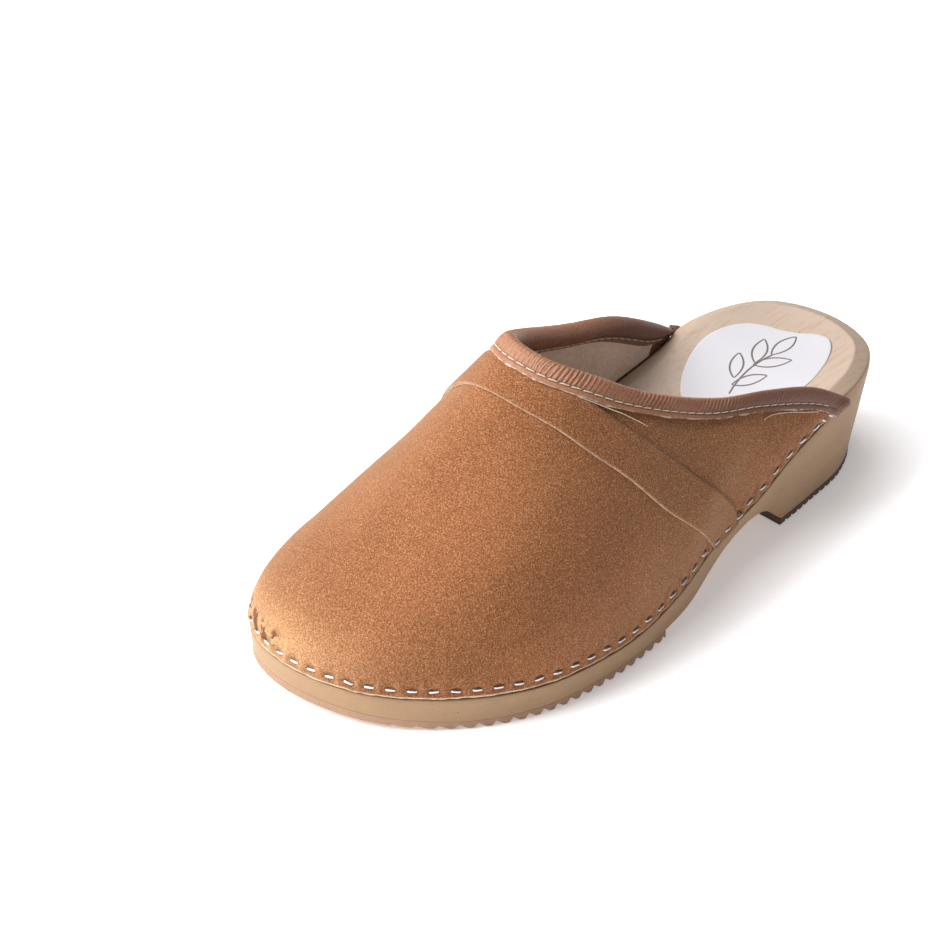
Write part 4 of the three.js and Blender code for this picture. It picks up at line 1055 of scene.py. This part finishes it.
def build_staples(finish, pitch):
    """Flat wire bent into a crown with two legs, driven through the leather into the wood."""
    s = staple_row(pitch)
    k = np.arange(len(s))
    t = UP.place(s, staple_height(s))
    front, rear = np.array(BAND_FRONT), np.array(BAND_REAR)
    on_band = ((s > rear[0, 0] - 0.003) & (s < front[0, 0] + 0.003)) | ((s > front[-1, 0] - 0.003) & (s < rear[-1, 0] + 0.003))
    on_fold = t > DEPTH.place(s, 9.5)
    layer = np.where(on_band, 1.0, np.where(on_fold, 1.3, -0.25))
    centre = leather(s, t, layer)
    out = np.column_stack([outward_at(SEAT_START + SEAT * s), np.zeros(len(s))])
    run = face(s + 0.004, t) - face(s - 0.004, t)
    run = unit(run - out * np.sum(run * out, 1, keepdims=True))
    tilt = 0.10 * np.sin(2.4 * k) + 0.06 * np.sin(5.1 * k + 1)
    tilt[[0, 1]] += 0.75
    tilt[[-1, -2]] -= 0.75
    up = unit(np.cross(run, out))
    up *= np.sign(up[:, 2:])
    turn, lift = np.cos(tilt)[:, None], np.sin(tilt)[:, None]
    run, up = run * turn + up * lift, up * turn - run * lift
    w = 1.75
    path = np.array([(-w, -3.0), (-w, -0.5), (-w + 0.08, -0.05), (-w + 0.4, 0.2), (-0.8, 0.3), (0.8, 0.3),
                     (w - 0.4, 0.2), (w - 0.08, -0.05), (w, -0.5), (w, -3.0)])
    angle = np.arange(6) * math.pi / 3 + math.pi / 6
    wide, thick = 0.42 * np.sign(np.sin(angle)) * np.abs(np.sin(angle)) ** 0.6, 0.24 * np.cos(angle)
    bend = unit(np.gradient(path, axis=0))
    normal = np.column_stack([-bend[:, 1], bend[:, 0]])
    flat = path[:, None] + normal[:, None] * thick[None, :, None]
    points = (centre[:, None, None] + run[:, None, None] * flat[None, ..., :1]
              + out[:, None, None] * flat[None, ..., 1:] + up[:, None, None] * wide[None, None, :, None])
    c, n, m = points.shape[:3]
    nodes = sorted(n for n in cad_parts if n.startswith("staple_"))
    return make_piece("wire_staples", points, copies(tube(n, m), n * m, c), finish, nodes, sharp=50)


def bed_height(x, y):
    """Height of the footbed in the heel seat: the rim's height less a dish that is deepest on the middle line."""
    line = np.linspace(40, 92, 40)
    right, left = outline_at(outer_place(line)), outline_at(inner_place(line))
    half = np.interp(y, line, (right[:, 0] - left[:, 0]) / 2 - CHAMFER_WIDTH - 0.5)
    middle = np.interp(y, line, (right[:, 0] + left[:, 0]) / 2)
    places = np.linspace(outer_place(92) - ROUND, inner_place(92) - ROUND, 200)
    centre = (np.interp(92, line, (right[:, 0] + left[:, 0]) / 2), 92)
    rim = outline_at(places) - outward_at(places) * (CHAMFER_WIDTH + 0.5) - centre
    angle = np.arctan2(rim[:, 1], rim[:, 0])
    order = np.argsort(angle)
    reach = np.interp(np.arctan2(y - 92, x - middle), angle[order], np.linalg.norm(rim, axis=1)[order])
    r = np.where(y < 92, np.abs(x - middle) / half, np.hypot(x - middle, y - 92) / reach)
    return top_edge(y) + chamfer_rise(y) - DISH * (1 - np.clip(r, 0, 1) ** 2)


def build_label(finish):
    """A sticker of rounded outline lying on the footbed, its edge slightly proud."""
    knots = np.array(LABEL_EDGE)
    edge = spline(np.concatenate([knots[-3:], knots, knots[:4]]), 160, 3, 3 + len(knots))[:-1]
    share = np.concatenate([np.linspace(0, 0.985, 26), [0.995, 1.0, 1.0]])
    lift = np.concatenate([np.full(26, LABEL_RISE), [LABEL_RISE - 0.03, LABEL_RISE - 0.1, 0.02]])
    flat = np.array(LABEL_AT) + share[None, :, None] * (edge - LABEL_AT)[:, None]
    height = bed_height(flat[..., 0], flat[..., 1])[..., None]
    points = np.concatenate([np.concatenate([flat, height + lift[None, :, None]], -1),
                             np.concatenate([flat, height + 0.02], -1)[:, -2::-1]], 1)
    n, m = points.shape[:2]
    return make_piece("heel_sticker", points, quads(n, m, wrap_n=True), finish, ["footbed_label"], sharp=50)


# ---- operators ----
class CLOG_OT_sole(bpy.types.Operator):
    """Carve the wooden sole"""

    bl_idname = "clog.sole"
    bl_label = "Wooden sole"

    def execute(self, context):
        colours = context.scene.clog_colours
        build_sole(wood_finish("wood", colours.wood, colours.footbed))
        return {"FINISHED"}


class CLOG_OT_outsoles(bpy.types.Operator):
    """Glue the rubber under the forefoot and heel"""

    bl_idname = "clog.outsoles"
    bl_label = "Rubber outsoles"

    def execute(self, context):
        colours = context.scene.clog_colours
        build_outsoles(rubber_finish("forefoot_rubber", colours.forefoot), rubber_finish("heel_rubber", colours.heel))
        return {"FINISHED"}


class CLOG_OT_upper(bpy.types.Operator):
    """Last the suede over the sole"""

    bl_idname = "clog.upper"
    bl_label = "Suede upper"

    def execute(self, context):
        sizes, colours = context.scene.clog_sizes, context.scene.clog_colours
        build_upper(suede_finish("suede", colours.suede), sizes.staple_pitch * 1000, sizes.pucker_depth * 1000)
        return {"FINISHED"}


class CLOG_OT_lining(bpy.types.Operator):
    """Line the upper and finish the toe puff inside it"""

    bl_idname = "clog.lining"
    bl_label = "Lining and toe puff"

    def execute(self, context):
        colours = context.scene.clog_colours
        build_lining(lining_finish("lining", colours.lining))
        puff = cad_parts["toe_puff"].data
        puff.materials.clear()
        puff.materials.append(board_finish("fibre_board", colours.board))
        return {"FINISHED"}


class CLOG_OT_band(bpy.types.Operator):
    """Lay the strap across the instep"""

    bl_idname = "clog.band"
    bl_label = "Instep band"

    def execute(self, context):
        sizes, colours = context.scene.clog_sizes, context.scene.clog_colours
        build_band(suede_finish("band_suede", colours.suede), sizes.staple_pitch * 1000)
        return {"FINISHED"}


class CLOG_OT_binding(bpy.types.Operator):
    """Fold the binding over the collar"""

    bl_idname = "clog.binding"
    bl_label = "Collar binding"

    def execute(self, context):
        sizes, colours = context.scene.clog_sizes, context.scene.clog_colours
        build_binding(binding_finish("binding_leather", colours.binding), sizes.wrinkle_depth * 1000)
        return {"FINISHED"}


class CLOG_OT_stitches(bpy.types.Operator):
    """Sew the binding through"""

    bl_idname = "clog.stitches"
    bl_label = "Stitches"

    def execute(self, context):
        sizes, colours = context.scene.clog_sizes, context.scene.clog_colours
        build_stitches(thread_finish("thread", colours.thread), sizes.stitch_pitch * 1000)
        return {"FINISHED"}


class CLOG_OT_staples(bpy.types.Operator):
    """Staple the upper to the sole"""

    bl_idname = "clog.staples"
    bl_label = "Staples"

    def execute(self, context):
        sizes, colours = context.scene.clog_sizes, context.scene.clog_colours
        build_staples(wire_finish("staple_wire", colours.wire), sizes.staple_pitch * 1000)
        return {"FINISHED"}


class CLOG_OT_label(bpy.types.Operator):
    """Stick the label in the heel seat"""

    bl_idname = "clog.label"
    bl_label = "Heel label"

    def execute(self, context):
        build_label(label_finish("label", context.scene.clog_colours.label))
        return {"FINISHED"}


class CLOG_OT_stage(bpy.types.Operator):
    """Set up the floor, the lights and the camera"""

    bl_idname = "clog.stage"
    bl_label = "Stage"

    def execute(self, context):
        scene = context.scene
        mesh = bpy.data.meshes.new("floor")
        mesh.from_pydata([(-3, -3, 0), (3, -3, 0), (3, 3, 0), (-3, 3, 0)], [], [(0, 1, 2, 3)])
        floor = bpy.data.objects.new("floor", mesh)
        scene.collection.objects.link(floor)
        paint = Finish("floor", Roughness=0.9, Specular_IOR_Level=0.1)
        paint.shader.inputs["Base Color"].default_value = (1.2, 1.2, 1.22, 1)
        paint.shader.inputs["Emission Color"].default_value = (0.98, 0.98, 1.0, 1)
        paint.shader.inputs["Emission Strength"].default_value = 0.30
        mesh.materials.append(paint.material)
        world = bpy.data.worlds.new("studio")
        scene.world = world
        world.use_nodes = True
        world.node_tree.nodes["Background"].inputs["Color"].default_value = (0.98, 0.99, 1.0, 1)
        world.node_tree.nodes["Background"].inputs["Strength"].default_value = 0.15
        azimuth, elevation = math.radians(45), math.radians(34.3)
        back = Vector((math.sin(azimuth) * math.cos(elevation), -math.cos(azimuth) * math.cos(elevation), math.sin(elevation)))
        right = Vector((math.cos(azimuth), math.sin(azimuth), 0))
        target = Vector(((-68.4 + SHIFT[0]) / 1000, (12.1 + SHIFT[1]) / 1000, 0))
        camera = bpy.data.objects.new("camera", bpy.data.cameras.new("camera"))
        scene.collection.objects.link(camera)
        camera.data.lens, camera.data.sensor_width = 237.65, 36
        camera.data.clip_end = 20
        camera.location = target + back * 2.2
        camera.rotation_mode = "QUATERNION"
        camera.rotation_quaternion = (-back).to_track_quat("-Z", "Y")
        scene.camera = camera
        level = Vector((-back.x, -back.y, 0)).normalized()
        # a large soft lamp up on the left, slightly to the front, and a weaker one overhead, a little behind
        for name, side, forward, height, size, power, colour in (
                ("left_softbox", -1.3, -0.15, 1.15, 1.6, 46, (1.0, 0.985, 0.96)),
                ("top_softbox", -0.5, 0.3, 1.8, 1.6, 23, (1.0, 1.0, 1.0))):
            lamp = bpy.data.objects.new(name, bpy.data.lights.new(name, "AREA"))
            scene.collection.objects.link(lamp)
            lamp.data.shape, lamp.data.size, lamp.data.energy, lamp.data.color = "DISK", size, power, colour
            lamp.location = right * side + level * forward + Vector((0, 0, height))
            lamp.rotation_mode = "QUATERNION"
            lamp.rotation_quaternion = (Vector((0, 0, 0.04)) - lamp.location).to_track_quat("-Z", "Y")
        scene.view_settings.view_transform = "Standard"
        return {"FINISHED"}


OPERATORS = (CLOG_OT_stage, CLOG_OT_sole, CLOG_OT_outsoles, CLOG_OT_lining, CLOG_OT_upper, CLOG_OT_band,
             CLOG_OT_binding, CLOG_OT_stitches, CLOG_OT_staples, CLOG_OT_label)


class CLOG_PT_panel(bpy.types.Panel):
    """Builds the clog piece by piece"""

    bl_idname = "CLOG_PT_panel"
    bl_label = "Wooden clog"
    bl_space_type = "VIEW_3D"
    bl_region_type = "UI"
    bl_category = "Clog"

    def draw(self, context):
        for group in (context.scene.clog_sizes, context.scene.clog_colours):
            column = self.layout.column(align=True)
            for key in group.__annotations__:
                column.prop(group, key)
        for operator in OPERATORS:
            self.layout.operator(operator.bl_idname)


CLASSES = (ClogSizes, ClogColours, *OPERATORS, CLOG_PT_panel)


def register():
    for made in CLASSES:
        bpy.utils.register_class(made)
    bpy.types.Scene.clog_sizes = PointerProperty(type=ClogSizes)
    bpy.types.Scene.clog_colours = PointerProperty(type=ClogColours)


def unregister():
    del bpy.types.Scene.clog_colours
    del bpy.types.Scene.clog_sizes
    for made in reversed(CLASSES):
        bpy.utils.unregister_class(made)


def main():
    register()
    for operator in OPERATORS:
        family, name = operator.bl_idname.split(".")
        getattr(getattr(bpy.ops, family), name)()


if __name__ == "__main__":
    main()
